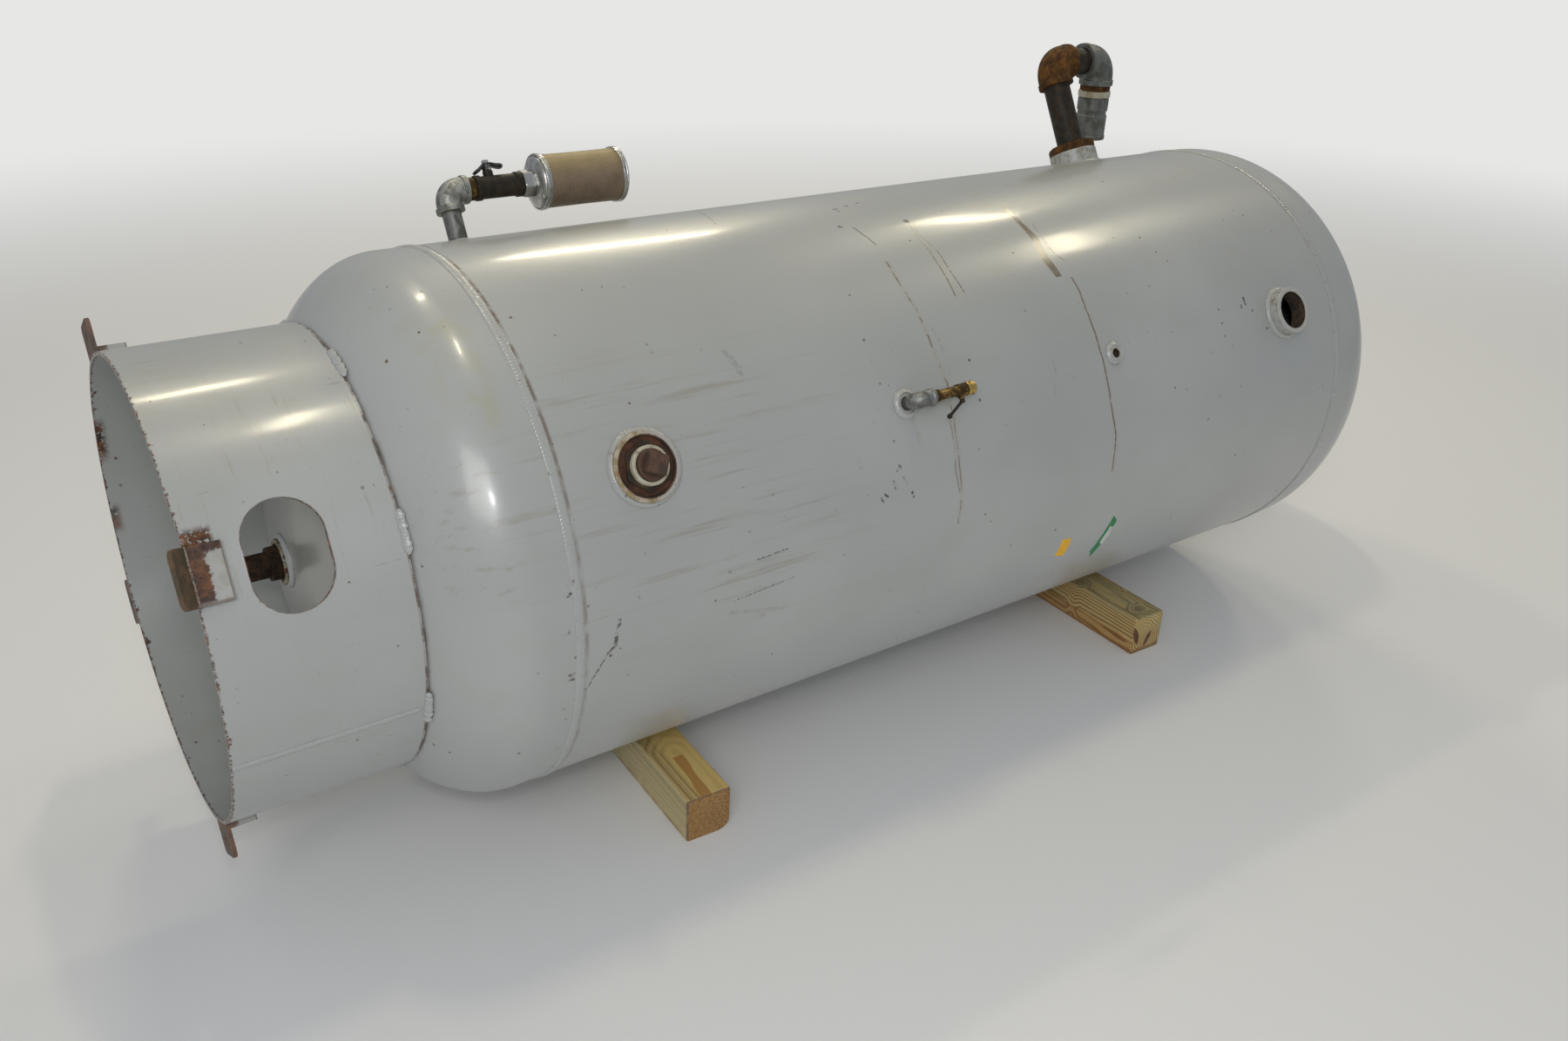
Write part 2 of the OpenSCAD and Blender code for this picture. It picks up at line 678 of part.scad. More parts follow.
module riser_elbow() {
    color(rust) on_tank() at_port(riser_x, back_angle, riser_line_z)
        elbow(riser_reach, riser_elbow_od, riser_rim, 12, riser_pipe_od - 2 * riser_wall, riser_bore);
}
module cross_nipple() {
    color(dark_iron) on_tank() at_port(riser_x, back_angle, riser_line_z) rotate([0, 90, 0])
        tube(riser_pipe_od, riser_pipe_od - 2 * riser_wall, riser_reach - riser_thread,
            riser_reach + cross_gap + riser_thread);
}
// The second elbow hangs level, with its lower mouth straight down
drop_x = riser_x + 2 * riser_reach + cross_gap;
module at_drop() {
    on_tank() at_port(drop_x, back_angle, riser_line_z) rotate([-back_angle, 0, 0]) children();
}
module drop_elbow() {
    color(galvanised) at_drop() rotate([0, 0, 180])
        elbow(riser_reach, riser_elbow_od, riser_rim, 12, riser_pipe_od - 2 * riser_wall, riser_bore);
}
collar_length = 28;
module relief_collar() {
    color("#c9b98c") at_drop() {
        tube(riser_pipe_od, riser_pipe_od - 2 * riser_wall, -riser_reach, -riser_reach + riser_thread);
        tube(relief_d + 4, riser_pipe_od - 2 * riser_wall, -riser_reach - collar_length, -riser_reach);
    }
}
module relief_body() {
    low = -riser_reach - collar_length - relief_length;
    color(galvanised) at_drop() difference() {
        union() {
            translate([0, 0, low]) cylinder(h = relief_length, d = relief_d);
            translate([0, 0, low]) cylinder(h = 10, d = relief_d + 3);
        }
        translate([0, 0, low - 1]) cylinder(h = 16, d = relief_d - 14);
    }
}

// Timbers: square offcuts, the left one with a waney lower corner
module timber_bar(wane) {
    edge = 3;
    half = timber / 2;
    rotate([90, 0, 0]) translate([0, 0, -timber_length / 2]) linear_extrude(timber_length) difference() {
        hull() for (x = [-half + edge, half - edge]) for (y = [edge, timber - edge])
            translate([x, y]) circle(r = edge, $fn = 24);
        if (wane > 0) translate([half - wane, 0]) difference() {
            translate([0, -1]) square([wane + 1, wane + 1]);
            translate([0, wane]) circle(r = wane);
        }
    }
}
module timber_left() {
    color(pine) rotate([0, 0, left_timber_yaw]) timber_bar(22);
}
module timber_right() {
    color(pine) translate([right_timber_x - left_timber_x, 0, 0])
        rotate([0, 0, right_timber_yaw]) timber_bar(0);
}

shell();
shell_long_seam();
head_bottom();
head_top();
girth_weld_bottom();
girth_weld_top();
base_skirt();
skirt_seam_weld();
skirt_stitch_welds();
foot_clip_front();
foot_clip_lower();
foot_clip_back();
foot_clip_top();
drain_coupling();
drain_bushing();
drain_nipple();
port_welds();
plug_coupling();
plug_outer_bushing();
plug_inner_bushing();
pipe_plug();
cock_coupling();
cock_elbow();
cock_body();
cock_end();
cock_lever();
gauge_coupling();
outlet_coupling();
inlet_coupling();
inlet_nipple();
inlet_elbow();
inlet_brass_nipple();
inlet_valve_body();
inlet_valve_handle();
filter_hub();
filter_cap();
filter_element();
filter_end_ring();
riser_coupling();
riser_bushing();
riser_pipe();
riser_elbow();
cross_nipple();
drop_elbow();
relief_collar();
relief_body();
timber_left();
timber_right();
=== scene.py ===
import math

import bmesh
import bpy
import numpy as np
from mathutils import Matrix


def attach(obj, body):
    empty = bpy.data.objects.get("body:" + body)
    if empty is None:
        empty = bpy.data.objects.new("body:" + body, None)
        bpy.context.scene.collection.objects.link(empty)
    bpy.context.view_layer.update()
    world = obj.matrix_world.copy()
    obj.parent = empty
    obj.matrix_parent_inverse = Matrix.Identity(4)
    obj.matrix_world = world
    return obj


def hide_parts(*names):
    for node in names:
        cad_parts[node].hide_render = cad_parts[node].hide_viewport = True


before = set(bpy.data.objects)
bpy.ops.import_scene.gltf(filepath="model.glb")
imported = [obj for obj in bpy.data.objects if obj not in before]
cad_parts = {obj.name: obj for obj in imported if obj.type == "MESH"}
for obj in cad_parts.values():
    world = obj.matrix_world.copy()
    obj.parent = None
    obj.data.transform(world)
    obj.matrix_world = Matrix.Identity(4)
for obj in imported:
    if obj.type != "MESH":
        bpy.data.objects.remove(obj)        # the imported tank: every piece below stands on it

for spare in ("Cube", "Light", "Camera"):
    if spare in bpy.data.objects:
        bpy.data.objects.remove(bpy.data.objects[spare])
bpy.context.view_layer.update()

# Sizes that the whole tank shares: millimetres and degrees, counted from the low girth seam on the axis
tank = dict(seamX=-299.0, axisHeight=546.4, radius=457.2, plate=6.35, length=1829.0, flange=50.8, dish=235.0,
            skirtRadius=364.8, skirtPlate=6.35, skirtReach=475.0, skirtGap=0.3, front=61.0, back=-29.0,
            portLow=-8.35)
origin = np.array([tank["seamX"], 0, tank["axisHeight"]])
# where each port lies along the tank and round it
ports = dict(plug=(142.0, tank["front"]), cock=(638.0, tank["front"]), gauge=(1146.0, tank["front"]),
             outlet=(1660.0, tank["front"]), inlet=(132.0, tank["back"]), riser=(1664.0, tank["back"]))
# the plugged port, by height over the shell
plug = dict(rim=9.0, face=7.0, lip=22.0, shoulder=29.0, head=46.0, square=31.0, hexagon=69.0)


# how far out a dished head stands, by the distance from the tank's axis
def crownAt(side):
    return tank["flange"] + tank["dish"] * math.sqrt(1 - (side / tank["radius"]) ** 2)


crown = crownAt(0)
skirtEnd = crownAt(tank["skirtRadius"] - tank["skirtPlate"]) + tank["skirtGap"]


# stands a camera or a lamp at its place, by its own right, up and ahead
def posed(item, place, right, up, ahead):
    pose = Matrix.Identity(4)
    for row in range(3):
        pose[row][0], pose[row][1], pose[row][2], pose[row][3] = right[row], up[row], -ahead[row], place[row]
    item.matrix_world = pose
    bpy.context.scene.collection.objects.link(item)


# camera: the photograph's own view, worked out from the seams and the ports
def setCamera():
    view = dict(place=(-1.0202, -1.9220, 1.5691), yaw=0.6341, pitch=-0.4683, roll=0.0427, lens=30.03,
                sensor=36.0, near=0.05, far=60.0)
    sinYaw, cosYaw = math.sin(view["yaw"]), math.cos(view["yaw"])
    level = math.cos(view["pitch"])
    ahead = np.array([sinYaw * level, cosYaw * level, math.sin(view["pitch"])])
    right = np.array([cosYaw, -sinYaw, 0.0])
    up = np.cross(right, ahead)
    turn, lean = math.cos(view["roll"]), math.sin(view["roll"])
    data = bpy.data.cameras.new("photoView")
    data.lens, data.sensor_width = view["lens"], view["sensor"]
    data.clip_start, data.clip_end = view["near"], view["far"]
    camera = bpy.data.objects.new("photoView", data)
    posed(camera, view["place"], turn * right + lean * up, -lean * right + turn * up, ahead)
    bpy.context.scene.camera = camera


setCamera()
print("camera set")


# shader nodes: a wire's name is the socket's own, or i and its number
def addNode(tree, kind, settings=None, **wires):
    made = tree.nodes.new(kind)
    for name, value in (settings or {}).items():
        setattr(made, name, value)
    for name, value in wires.items():
        connect(made.inputs[int(name[1:])] if name[1:].isdigit() else made.inputs[name], value)
    return made


def connect(socket, value):
    value = getattr(value, "socket", value)
    if isinstance(value, bpy.types.NodeSocket):
        socket.id_data.links.new(value, socket)
    else:
        socket.default_value = (*value, 1.0) if socket.type == "RGBA" and len(value) == 3 else value


# a shader value: a sum written with it becomes math nodes
class Value:
    def __init__(self, socket):
        self.socket = socket

    def calc(self, operation, other=0.0):
        made = addNode(self.socket.id_data, "ShaderNodeMath", {"operation": operation}, i0=self, i1=other)
        return Value(made.outputs[0])

    def __add__(self, other):
        return self.calc("ADD", other)

    def __sub__(self, other):
        return self.calc("SUBTRACT", other)

    def __rsub__(self, other):
        return self * -1.0 + other

    def __mul__(self, other):
        return self.calc("MULTIPLY", other)

    def __truediv__(self, other):
        return self.calc("DIVIDE", other)

    def __abs__(self):
        return self.calc("ABSOLUTE")


# a soft step: from least to most while the value goes from low to high
def spread(value, low, high, least=0.0, most=1.0):
    made = addNode(value.socket.id_data, "ShaderNodeMapRange", {"interpolation_type": "SMOOTHSTEP"},
                   i0=value, i1=low, i2=high, i3=least, i4=most)
    return Value(made.outputs[0])


def fades(value, low, high):
    return spread(value, low, high, 1.0, 0.0)


def near(value, place, inner, outer):
    return fades(abs(value - place), inner, outer)


# full between two values, soft for a stretch past each
def between(value, low, high, soft):
    return spread(value, low - soft, low) * fades(value, high, high + soft)


def product(first, *factors):
    for factor in factors:
        first = first * factor
    return first


def strongest(first, *masks):
    for mask in masks:
        first = first.calc("MAXIMUM", mask)
    return first


def hypotenuse(across, up):
    return (across * across + up * up).calc("SQRT")


# a curve through (input, output) pairs, straight between them
def curved(value, pairs):
    pairs = sorted(pairs)
    low, high = pairs[0][0], pairs[-1][0]
    least, most = min(p[1] for p in pairs), max(p[1] for p in pairs)
    room = max(most - least, 1e-6)
    tree = value.socket.id_data
    share = Value(addNode(tree, "ShaderNodeMapRange", i0=value, i1=low, i2=high).outputs[0])
    made = addNode(tree, "ShaderNodeFloatCurve", Value=share)
    curve = made.mapping.curves[0]
    while len(curve.points) < len(pairs):
        curve.points.new(0.5, 0.5)
    for point, (a, b) in zip(curve.points, pairs):
        point.location = ((a - low) / (high - low), (b - least) / room)
        point.handle_type = "VECTOR"
    made.mapping.update()
    return Value(made.outputs[0]) * room + least


# a finish in the making: its colour is laid on in layers, and its bumps add up
class Finish:
    def __init__(self, name, roughness=0.5, metallic=0.0, **more):
        self.material = bpy.data.materials.new(name)
        self.material.use_nodes = True
        self.tree = self.material.node_tree
        self.tree.nodes.clear()
        self.shader = addNode(self.tree, "ShaderNodeBsdfPrincipled", Metallic=metallic, Roughness=roughness)
        names = dict(coat="Coat Weight", coatRoughness="Coat Roughness", specular="Specular IOR Level")
        for name, value in more.items():
            self.shader.inputs[names[name]].default_value = value
        self.end = addNode(self.tree, "ShaderNodeOutputMaterial", i0=self.shader.outputs[0])
        self.coords = self.node("ShaderNodeTexCoord", "Object")
        self.colour = self.rough = self.normal = None

    def node(self, kind, output=0, settings=None, **wires):
        return Value(addNode(self.tree, kind, settings, **wires).outputs[output])

    def mapped(self, coords, scale=(1, 1, 1), turn=(0, 0, 0), shift=(0, 0, 0)):
        return self.node("ShaderNodeMapping", Vector=coords, Location=shift, Rotation=turn, Scale=scale)

    def noise(self, scale, detail, rough=0.55, stretch=None, turn=(0, 0, 0), coords=None):
        spot = coords or self.coords
        if stretch:
            spot = self.mapped(spot, stretch, turn)
        return self.node("ShaderNodeTexNoise", Vector=spot, Scale=scale, Detail=detail, Roughness=rough)

    # cells: a random tone for each, and how far a point lies from its middle
    def cells(self, scale, stretch=None):
        spot = self.mapped(self.coords, stretch) if stretch else self.coords
        made = addNode(self.tree, "ShaderNodeTexVoronoi", Vector=spot, Scale=scale).outputs
        return self.node("ShaderNodeSeparateColor", Color=made["Color"]), Value(made["Distance"])

    def axes(self, vector):
        return [Value(part) for part in addNode(self.tree, "ShaderNodeSeparateXYZ", Vector=vector).outputs]

    def upward(self):
        return self.axes(self.node("ShaderNodeNewGeometry", "Normal"))[2]

    def vector(self, operation, first, second=(0, 0, 0), output=0):
        return self.node("ShaderNodeVectorMath", output, {"operation": operation}, i0=first, i1=second)

    # marks are placed by millimetres along the tank from the low seam, and degrees round it from the top
    def unrolled(self):
        x, y, z = self.axes(self.coords)
        angle = (y * -1.0).calc("ARCTAN2", z - tank["axisHeight"] / 1000) * (180 / math.pi)
        return x * 1000.0 - tank["seamX"], angle

    # how far a point lies from a port's axis, and how high it stands over the shell there, in millimetres
    def aboutPort(self, x, angle):
        a = math.radians(angle)
        axis = (0.0, -math.sin(a), math.cos(a))
        away = self.vector("SUBTRACT", self.coords, tuple((origin + [x, 0, 0]) / 1000))
        wide = self.vector("LENGTH", self.vector("CROSS_PRODUCT", away, axis), output=1)
        return wide * 1000.0, self.vector("DOT_PRODUCT", away, axis, output=1) * 1000.0 - tank["radius"]

    def blend(self, share, first, second):
        return self.node("ShaderNodeMix", 2, {"data_type": "RGBA"}, i0=share, i6=first, i7=second)

    def lay(self, colour, *shares):
        self.colour = self.blend(product(*shares), self.colour, colour)

    # rust colour: dark brown scale with orange bloom where the noise is high
    def rust(self, dark=(0.030, 0.014, 0.008), bright=(0.200, 0.070, 0.020), pit=(0.012, 0.008, 0.007)):
        colour = self.blend(spread(self.noise(55, 6, 0.7), 0.38, 0.68), dark, bright)
        return self.blend(spread(self.noise(260, 4, 0.75), 0.5, 0.8) * 0.5, colour, pit)

    def bump(self, height, distance, strength):
        made = addNode(self.tree, "ShaderNodeBump", Height=height, Distance=distance, Strength=strength)
        if self.normal:
            connect(made.inputs["Normal"], self.normal)
        self.normal = Value(made.outputs[0])

    def done(self):
        for name, value in (("Base Color", self.colour), ("Roughness", self.rough), ("Normal", self.normal)):
            if value:
                connect(self.shader.inputs[name], value)
        return self.material


# a line that runs round the tank: how far along it lies is a curve of the angle
def roundLine(flat, places, half, soft, sway):
    away = flat[0] - curved(flat[1], [(angle, x) for x, angle in places]) + sway
    ends = [angle for x, angle in places]
    return fades(abs(away), half, half + soft) * between(flat[1], min(ends), max(ends), 0.4)


# a strip of tape between a left and a right edge, each a curve of the angle: how far inside it a point is,
# and whether it is level with it
def strip(flat, left, right, sway):
    x = flat[0] + sway
    fromLeft = x - curved(flat[1], [(a, b) for b, a in left])
    fromRight = curved(flat[1], [(a, b) for b, a in right]) - x
    ends = [angle for x, angle in left + right]
    return fromLeft.calc("MINIMUM", fromRight), between(flat[1], min(ends), max(ends), 0.25)


# one stroke: full inside a slim bar between two places given by (x, angle)
def stroke(flat, start, finish, half, soft=1.0):
    perDegree = math.radians(1) * tank["radius"]
    across = (finish[0] - start[0], (finish[1] - start[1]) * perDegree)
    length = max(math.hypot(*across), 0.1)
    ux, us = across[0] / length, across[1] / length
    dx, ds = flat[0] - start[0], (flat[1] - start[1]) * perDegree
    run, off = abs(dx * ux + ds * us - length / 2), abs(ds * ux - dx * us)
    return fades(run, length / 2, length / 2 + soft) * fades(off, half, half + soft)


# paint: satin grey with soft mottling, dust on top, specks, and rust where a mask asks for it
def paintedSteel(name, marks=None, rustMask=None, dirt=0.35):
    look = dict(pale=(0.430, 0.445, 0.436), deep=(0.368, 0.381, 0.370), dust=(0.335, 0.325, 0.265),
                speck=(0.115, 0.070, 0.038), roughness=0.34, glint=0.35, glintRoughness=0.13)
    paint = Finish(name, look["roughness"], coat=look["glint"], coatRoughness=look["glintRoughness"])
    flat = paint.unrolled()
    patchy = paint.noise(14, 5, 0.6, (0.6, 1, 1))
    paint.colour = paint.blend(spread(paint.noise(1.7, 3, 0.5), 0.3, 0.7), look["deep"], look["pale"])
    paint.lay(look["dust"], spread(patchy, 0.5, 0.8), dirt * 0.5)
    paint.lay(look["dust"], spread(paint.noise(9, 4, 0.6, (7, 1.2, 1.2)), 0.55, 0.85), dirt * 0.35)
    film = product(spread(paint.upward(), 0.45, 1.0), spread(patchy, 0.2, 0.9, 0.35, 0.8), dirt)
    paint.lay(look["dust"], film)
    chosen, fromMiddle = paint.cells(60)
    size = spread(chosen, 0.90, 1.0) * 0.12 + 0.05
    paint.lay(look["speck"], spread(size - fromMiddle, -0.02, 0.01), spread(chosen, 0.74, 0.80),
              spread(patchy, 0.40, 0.60, 0.25, 0.9))
    paint.rough = spread(patchy * 0.6 + film * 0.9, 0.2, 1.1, 0.29, 0.42)
    paint.bump(paint.noise(9, 2, 0.4), 0.0012, 0.35)
    paint.bump(paint.noise(620, 2, 0.5), 0.00012, 0.35)
    if marks:
        marks(paint, flat)
    if rustMask:
        share = rustMask(paint, flat)
        paint.lay(paint.rust(), share)
        paint.rough = strongest(paint.rough, share * 0.85)
        paint.bump(share, 0.0006, 0.6)
    return paint.done()


# the shell's own marks: strap lines, an old tape's ghost, a brown tape strip, scuffs and dirt
def shellMarks(paint, flat):
    wear = dict(rust=(0.115, 0.062, 0.026), halo=(0.36, 0.335, 0.24), tape=(0.155, 0.125, 0.075),
                ghost=(0.395, 0.385, 0.335), black=(0.035, 0.033, 0.032), scuff=(0.235, 0.235, 0.225),
                grime=(0.25, 0.215, 0.155), tapeRough=0.24)
    along, angle = flat
    fine, mid = paint.noise(130, 4, 0.65), paint.noise(30, 4, 0.6)
    sway = (mid - 0.5) * 8.0
    broken = spread(paint.noise(46, 3, 0.6), 0.40, 0.56)
    # dirt drawn out along the tank, from the head past the plugged port
    drawn = paint.noise(5, 5, 0.6, (0.9, 16, 16))
    paint.lay(wear["grime"], spread(along, -40, 60), fades(along, 300, 620), between(angle, 44, 92, 9),
              spread(drawn, 0.52, 0.72), 0.45)
    # brown bloom beside the low girth seam, stronger towards the top, and a little grime by the other
    paint.lay(wear["rust"], near(along, 10.0, 1, 5), spread(mid, 0.36, 0.6),
              spread(angle, -10, 120, 0.95, 0.35))
    paint.lay(wear["grime"], near(along, tank["length"] - 10, 1, 4), spread(mid, 0.46, 0.66), 0.4)
    # the first strap's line
    lineA = [(731, 28), (727, 34), (731, 41), (730, 51), (736, 59), (734, 65), (732, 70), (737, 84),
             (733, 90)]
    paint.lay(wear["halo"], roundLine(flat, lineA, 1.0, 8.0, sway), 0.30)
    paint.lay(wear["rust"], roundLine(flat, lineA, 0.7, 1.6, sway), broken, spread(angle, 60, 66, 0.85, 0.5))
    shortBit = roundLine(flat, [(730, 15), (740, 22)], 0.8, 2.0, sway)
    faintBit = roundLine(flat, [(725, 66), (726, 78), (734, 85)], 0.5, 2.0, sway)
    paint.lay(wear["rust"], strongest(shortBit * 0.8, faintBit * broken * 0.5))
    # the second strap's line
    lineB = [(1114, 41), (1116, 45), (1112, 49), (1112, 56), (1113, 60), (1116, 72), (1127, 80), (1125, 89)]
    paint.lay(wear["halo"], roundLine(flat, lineB, 1.2, 6.0, sway), 0.25)
    paint.lay(wear["rust"], roundLine(flat, lineB, 0.8, 1.7, sway * 0.7), spread(fine, 0.3, 0.5), 0.85)
    # the ghost of a strip of tape, darker along its lower right edge
    inside, level = strip(flat, [(854, 15), (839, 21), (834, 30), (832, 35), (828, 40)],
                          [(863, 16), (845, 21), (853, 27), (849, 33), (851, 40)], sway * 0.5)
    paint.lay(wear["ghost"], spread(inside, -1, 1), level, 0.55)
    paint.lay(wear["rust"], fades(abs(inside), 0.3, 2.2), level, spread(angle, 22, 32, 0.35, 0.9),
              spread(fine, 0.36, 0.52))
    paint.lay(wear["black"], stroke(flat, (850, 15), (850, 16), 4, 3), spread(fine, 0.4, 0.55))
    # a strip of brown tape, torn along its edges, and a line beside it
    inside, level = strip(flat, [(1093, 15), (1086, 21), (1082, 29), (1071, 35), (1079, 40)],
                          [(1098, 15), (1095, 23), (1097, 28), (1088, 34), (1092, 40)], sway * 0.6)
    tape = spread(inside, -0.75, 0.75) * level
    paint.lay(wear["tape"], tape, spread(fine, 0.25, 0.5, 0.6, 0.95))
    paint.lay(wear["rust"], fades(abs(inside), 0.2, 1.6), level, 0.8)
    beside = [(1115, 23), (1107, 30), (1109, 34), (1120, 36), (1130, 36)]
    paint.lay(wear["rust"], roundLine(flat, beside, 0.6, 1.6, sway), broken, 0.8)
    paint.rough = paint.rough * (1.0 - tape) + tape * wear["tapeRough"]
    # scuffs, smears and black rubs: start, finish, half width, strength
    grey = [((337, 42), (352, 48), 6, 0.5), ((215, 39), (219, 40), 2, 0.6), ((745, 46), (751, 52), 2, 0.35),
            ((989, 59), (989, 63), 1, 0.6), ((979, 64), (979, 67), 1, 0.5),
            ((1013, 63), (1038, 65), 0.6, 0.45), ((676, 99), (685, 109), 0.6, 0.4),
            ((1184, 57), (1196, 60), 0.6, 0.4), ((520, 70), (526, 72), 2, 0.3)]
    brown = [((259, 94.5), (367, 97.5), 3.2, 0.35), ((300, 96.6), (330, 97.4), 5.0, 0.35),
             ((690, 61), (730, 63.5), 5, 0.25), ((646, 64), (654, 71), 4, 0.22)]
    black = [((558, 79), (566, 80.2), 1.7, 0.9), ((568, 78.4), (575, 79.2), 1.5, 0.9),
             ((588, 76), (592, 78), 0.9, 0.8), ((596, 74.5), (603, 73.0), 0.8, 0.7),
             ((610, 75.6), (618, 77.6), 0.7, 0.6), ((626, 79.6), (629, 81), 2.0, 0.9),
             ((604, 73), (605, 74), 1.4, 0.7), ((310, 84.4), (377, 83.8), 0.8, 0.75),
             ((256, 85), (260, 85.6), 2.2, 0.8), ((265, 92), (382, 90.6), 0.7, 0.6),
             ((65, 88), (56, 93.5), 2.4, 0.85), ((56, 93.5), (47, 94.4), 1.6, 0.85),
             ((47, 94.4), (9, 102), 0.9, 0.8), ((705, 13.6), (709, 14.4), 3, 0.8),
             ((748, 4.6), (752, 5.4), 4, 0.7), ((780, 3.7), (783, 4.2), 3, 0.7),
             ((810, 2.8), (815, 3.2), 3, 0.7), ((1177, 4), (1204, 6), 1.6, 0.7),
             ((495, 4), (519, -8), 1.4, 0.6), ((1549, 55), (1550, 57), 2, 0.8),
             ((1535, 56.4), (1536, 57.6), 1.6, 0.7)]
    # strokes waver by a few millimetres, so none is a straight bar
    bent = ((paint.noise(75, 4, 0.7) - 0.5) * 11.0 + along, (fine - 0.5) * 1.1 + angle)
    for strokes, tone, texture in ((grey, "scuff", spread(fine, 0.36, 0.6)),
                                   (brown, "grime", spread(mid, 0.35, 0.6)),
                                   (black, "black", spread(fine, 0.40, 0.52))):
        masks = [stroke(bent, first, last, half) * strength for first, last, half, strength in strokes]
        paint.lay(wear[tone], strongest(*masks), texture)


# the heads: drawn dirt, a yellow stain, black rubs by the lower seam, grime by the skirt, and painted shade
# over the crown inside the skirt
def headMarks(paint, flat):
    wear = dict(stain=(0.38, 0.37, 0.245), black=(0.04, 0.038, 0.036), grime=(0.27, 0.24, 0.18),
                seep=(0.085, 0.058, 0.036), dust=(0.235, 0.230, 0.185), skirtEdge=130.0)
    along, angle = flat
    mid = paint.noise(22, 4, 0.6)
    drawn = paint.noise(5, 5, 0.6, (0.9, 14, 14))
    paint.lay(wear["grime"], between(angle, 52, 76, 6), spread(along, -215, -120), spread(drawn, 0.52, 0.7),
              fades(along, 0, 40), 0.4)
    paint.lay(wear["stain"], spread(along, -150, -90), fades(along, -60, -20), between(angle, 24, 46, 5),
              spread(mid, 0.42, 0.66), 0.45)
    paint.lay(wear["black"], spread(along, -34, -14), fades(along, -8, -4), between(angle, 66, 118, 8),
              spread(paint.noise(62, 4, 0.7, (0.5, 1, 1)), 0.60, 0.66), 0.85)
    pastFlange = along * -1.0 - (tank["flange"] + wear["skirtEdge"])
    paint.lay(wear["seep"], spread(pastFlange, 9, 16), fades(pastFlange, 20, 26),
              spread(mid, 0.40, 0.64, 0.15, 0.75))
    # painted shade: the crown inside the skirt is darkened in cloudy patches
    paint.lay(wear["dust"], spread(pastFlange, 24, 34), spread(mid, 0.2, 0.8, 0.50, 0.66))


# smears that run round the skirt, and a few fine scratches
def skirtMarks(paint, flat):
    wear = dict(smear=(0.285, 0.255, 0.175), scratch=(0.17, 0.145, 0.115))
    drawn = paint.noise(4, 5, 0.65, (22, 2.2, 2.2))
    paint.lay(wear["smear"], spread(drawn, 0.56, 0.76), between(flat[1], 18, 66, 12), 0.5)
    fine = paint.noise(3, 3, 0.5, (5, 60, 60), (0.3, 0.2, 0.4))
    paint.lay(wear["scratch"], spread(fine, 0.70, 0.74), 0.35)


# rust on the skirt: along the open rim, by the clips, at the cut end, in patches, and round the access hole
def skirtRust(paint, flat):
    hole = dict(x=-352.0, angle=tank["front"], half=24.0, radius=54.4)
    along, angle = flat
    ragged, fine = paint.noise(34, 5, 0.7), paint.noise(150, 4, 0.7)
    fromRim = along + tank["skirtReach"]
    reach = spread(fine, 0.40, 0.70) * 4.0 + spread(ragged, 0.56, 0.72) * 9.0
    rim = product(fades(fromRim - reach, -1.5, 1.5), spread(fine, 0.34, 0.46), 0.92)
    cut = spread(fromRim, 273.5, 275.5) * spread(ragged, 0.44, 0.60, 0.25, 0.85)
    flecks = product(spread(fine, 0.66, 0.7), spread(ragged, 0.48, 0.6), 0.8,
                     spread(fromRim, 60, 250, 1.0, 0.3))
    patches = strongest(between(angle, -74, -66, 5), between(angle, -97, -93, 3) * 0.8)
    farPatch = product(patches, fades(fromRim, 6, 20), spread(fine, 0.36, 0.48))
    clip = product(between(angle, 52.5, 56, 2), fades(fromRim, 34, 42), spread(fine, 0.38, 0.48))
    # the access hole is a slot with round ends: how far a point lies from the line between their middles
    aside = abs((angle - hole["angle"]) * (math.radians(1) * tank["skirtRadius"])) - hole["half"]
    gone = hypotenuse(along - hole["x"], aside.calc("MAXIMUM", 0.0))
    edge = fades(gone, hole["radius"], hole["radius"] + 1.8) * spread(fine, 0.34, 0.56, 0.45, 0.95)
    return strongest(rim, cut, flecks, farPatch, clip, edge)


def weldRust(paint, flat):
    return spread(paint.noise(70, 5, 0.7), 0.60, 0.70) * 0.7


# painted coupling with a rusty bore, a worn rim and grime where it meets its weld
def portPaint(name, place, bore, high):
    look = dict(pale=(0.43, 0.445, 0.435), deep=(0.33, 0.325, 0.275), face=(0.46, 0.455, 0.42),
                worn=(0.155, 0.105, 0.060), rust=((0.014, 0.010, 0.007), (0.095, 0.055, 0.026)))
    paint = Finish(name, 0.4)
    wide, height = paint.aboutPort(*place)
    ragged, fine = paint.noise(60, 5, 0.7), paint.noise(220, 5, 0.7)
    wall = bore / 2
    face = spread(height, high - 1.6, high - 1.0)
    worn = product(face, fades(wide + ragged * 5.0, wall + 3.4, wall + 4.4), spread(fine, 0.36, 0.52), 0.85)
    inside = strongest(fades(wide, wall + 2.3, wall + 2.7) * fades(height, high - 1.6, high - 1.1),
                       fades(wide, wall + 0.5, wall + 0.9))
    foot = product(spread(ragged, 0.52, 0.62), fades(height, high - 2, high - 1), 0.5)
    paint.colour = paint.blend(spread(ragged, 0.35, 0.65), look["pale"], look["deep"])
    paint.lay(look["face"], face, 0.6)
    paint.lay(look["worn"], strongest(worn, foot))
    paint.lay(paint.rust(*look["rust"]), inside)
    paint.rough = (strongest(worn, inside) * 0.8).calc("MAXIMUM", 0.36)
    paint.bump(fine, 0.0003, 0.6)
    return paint.done()


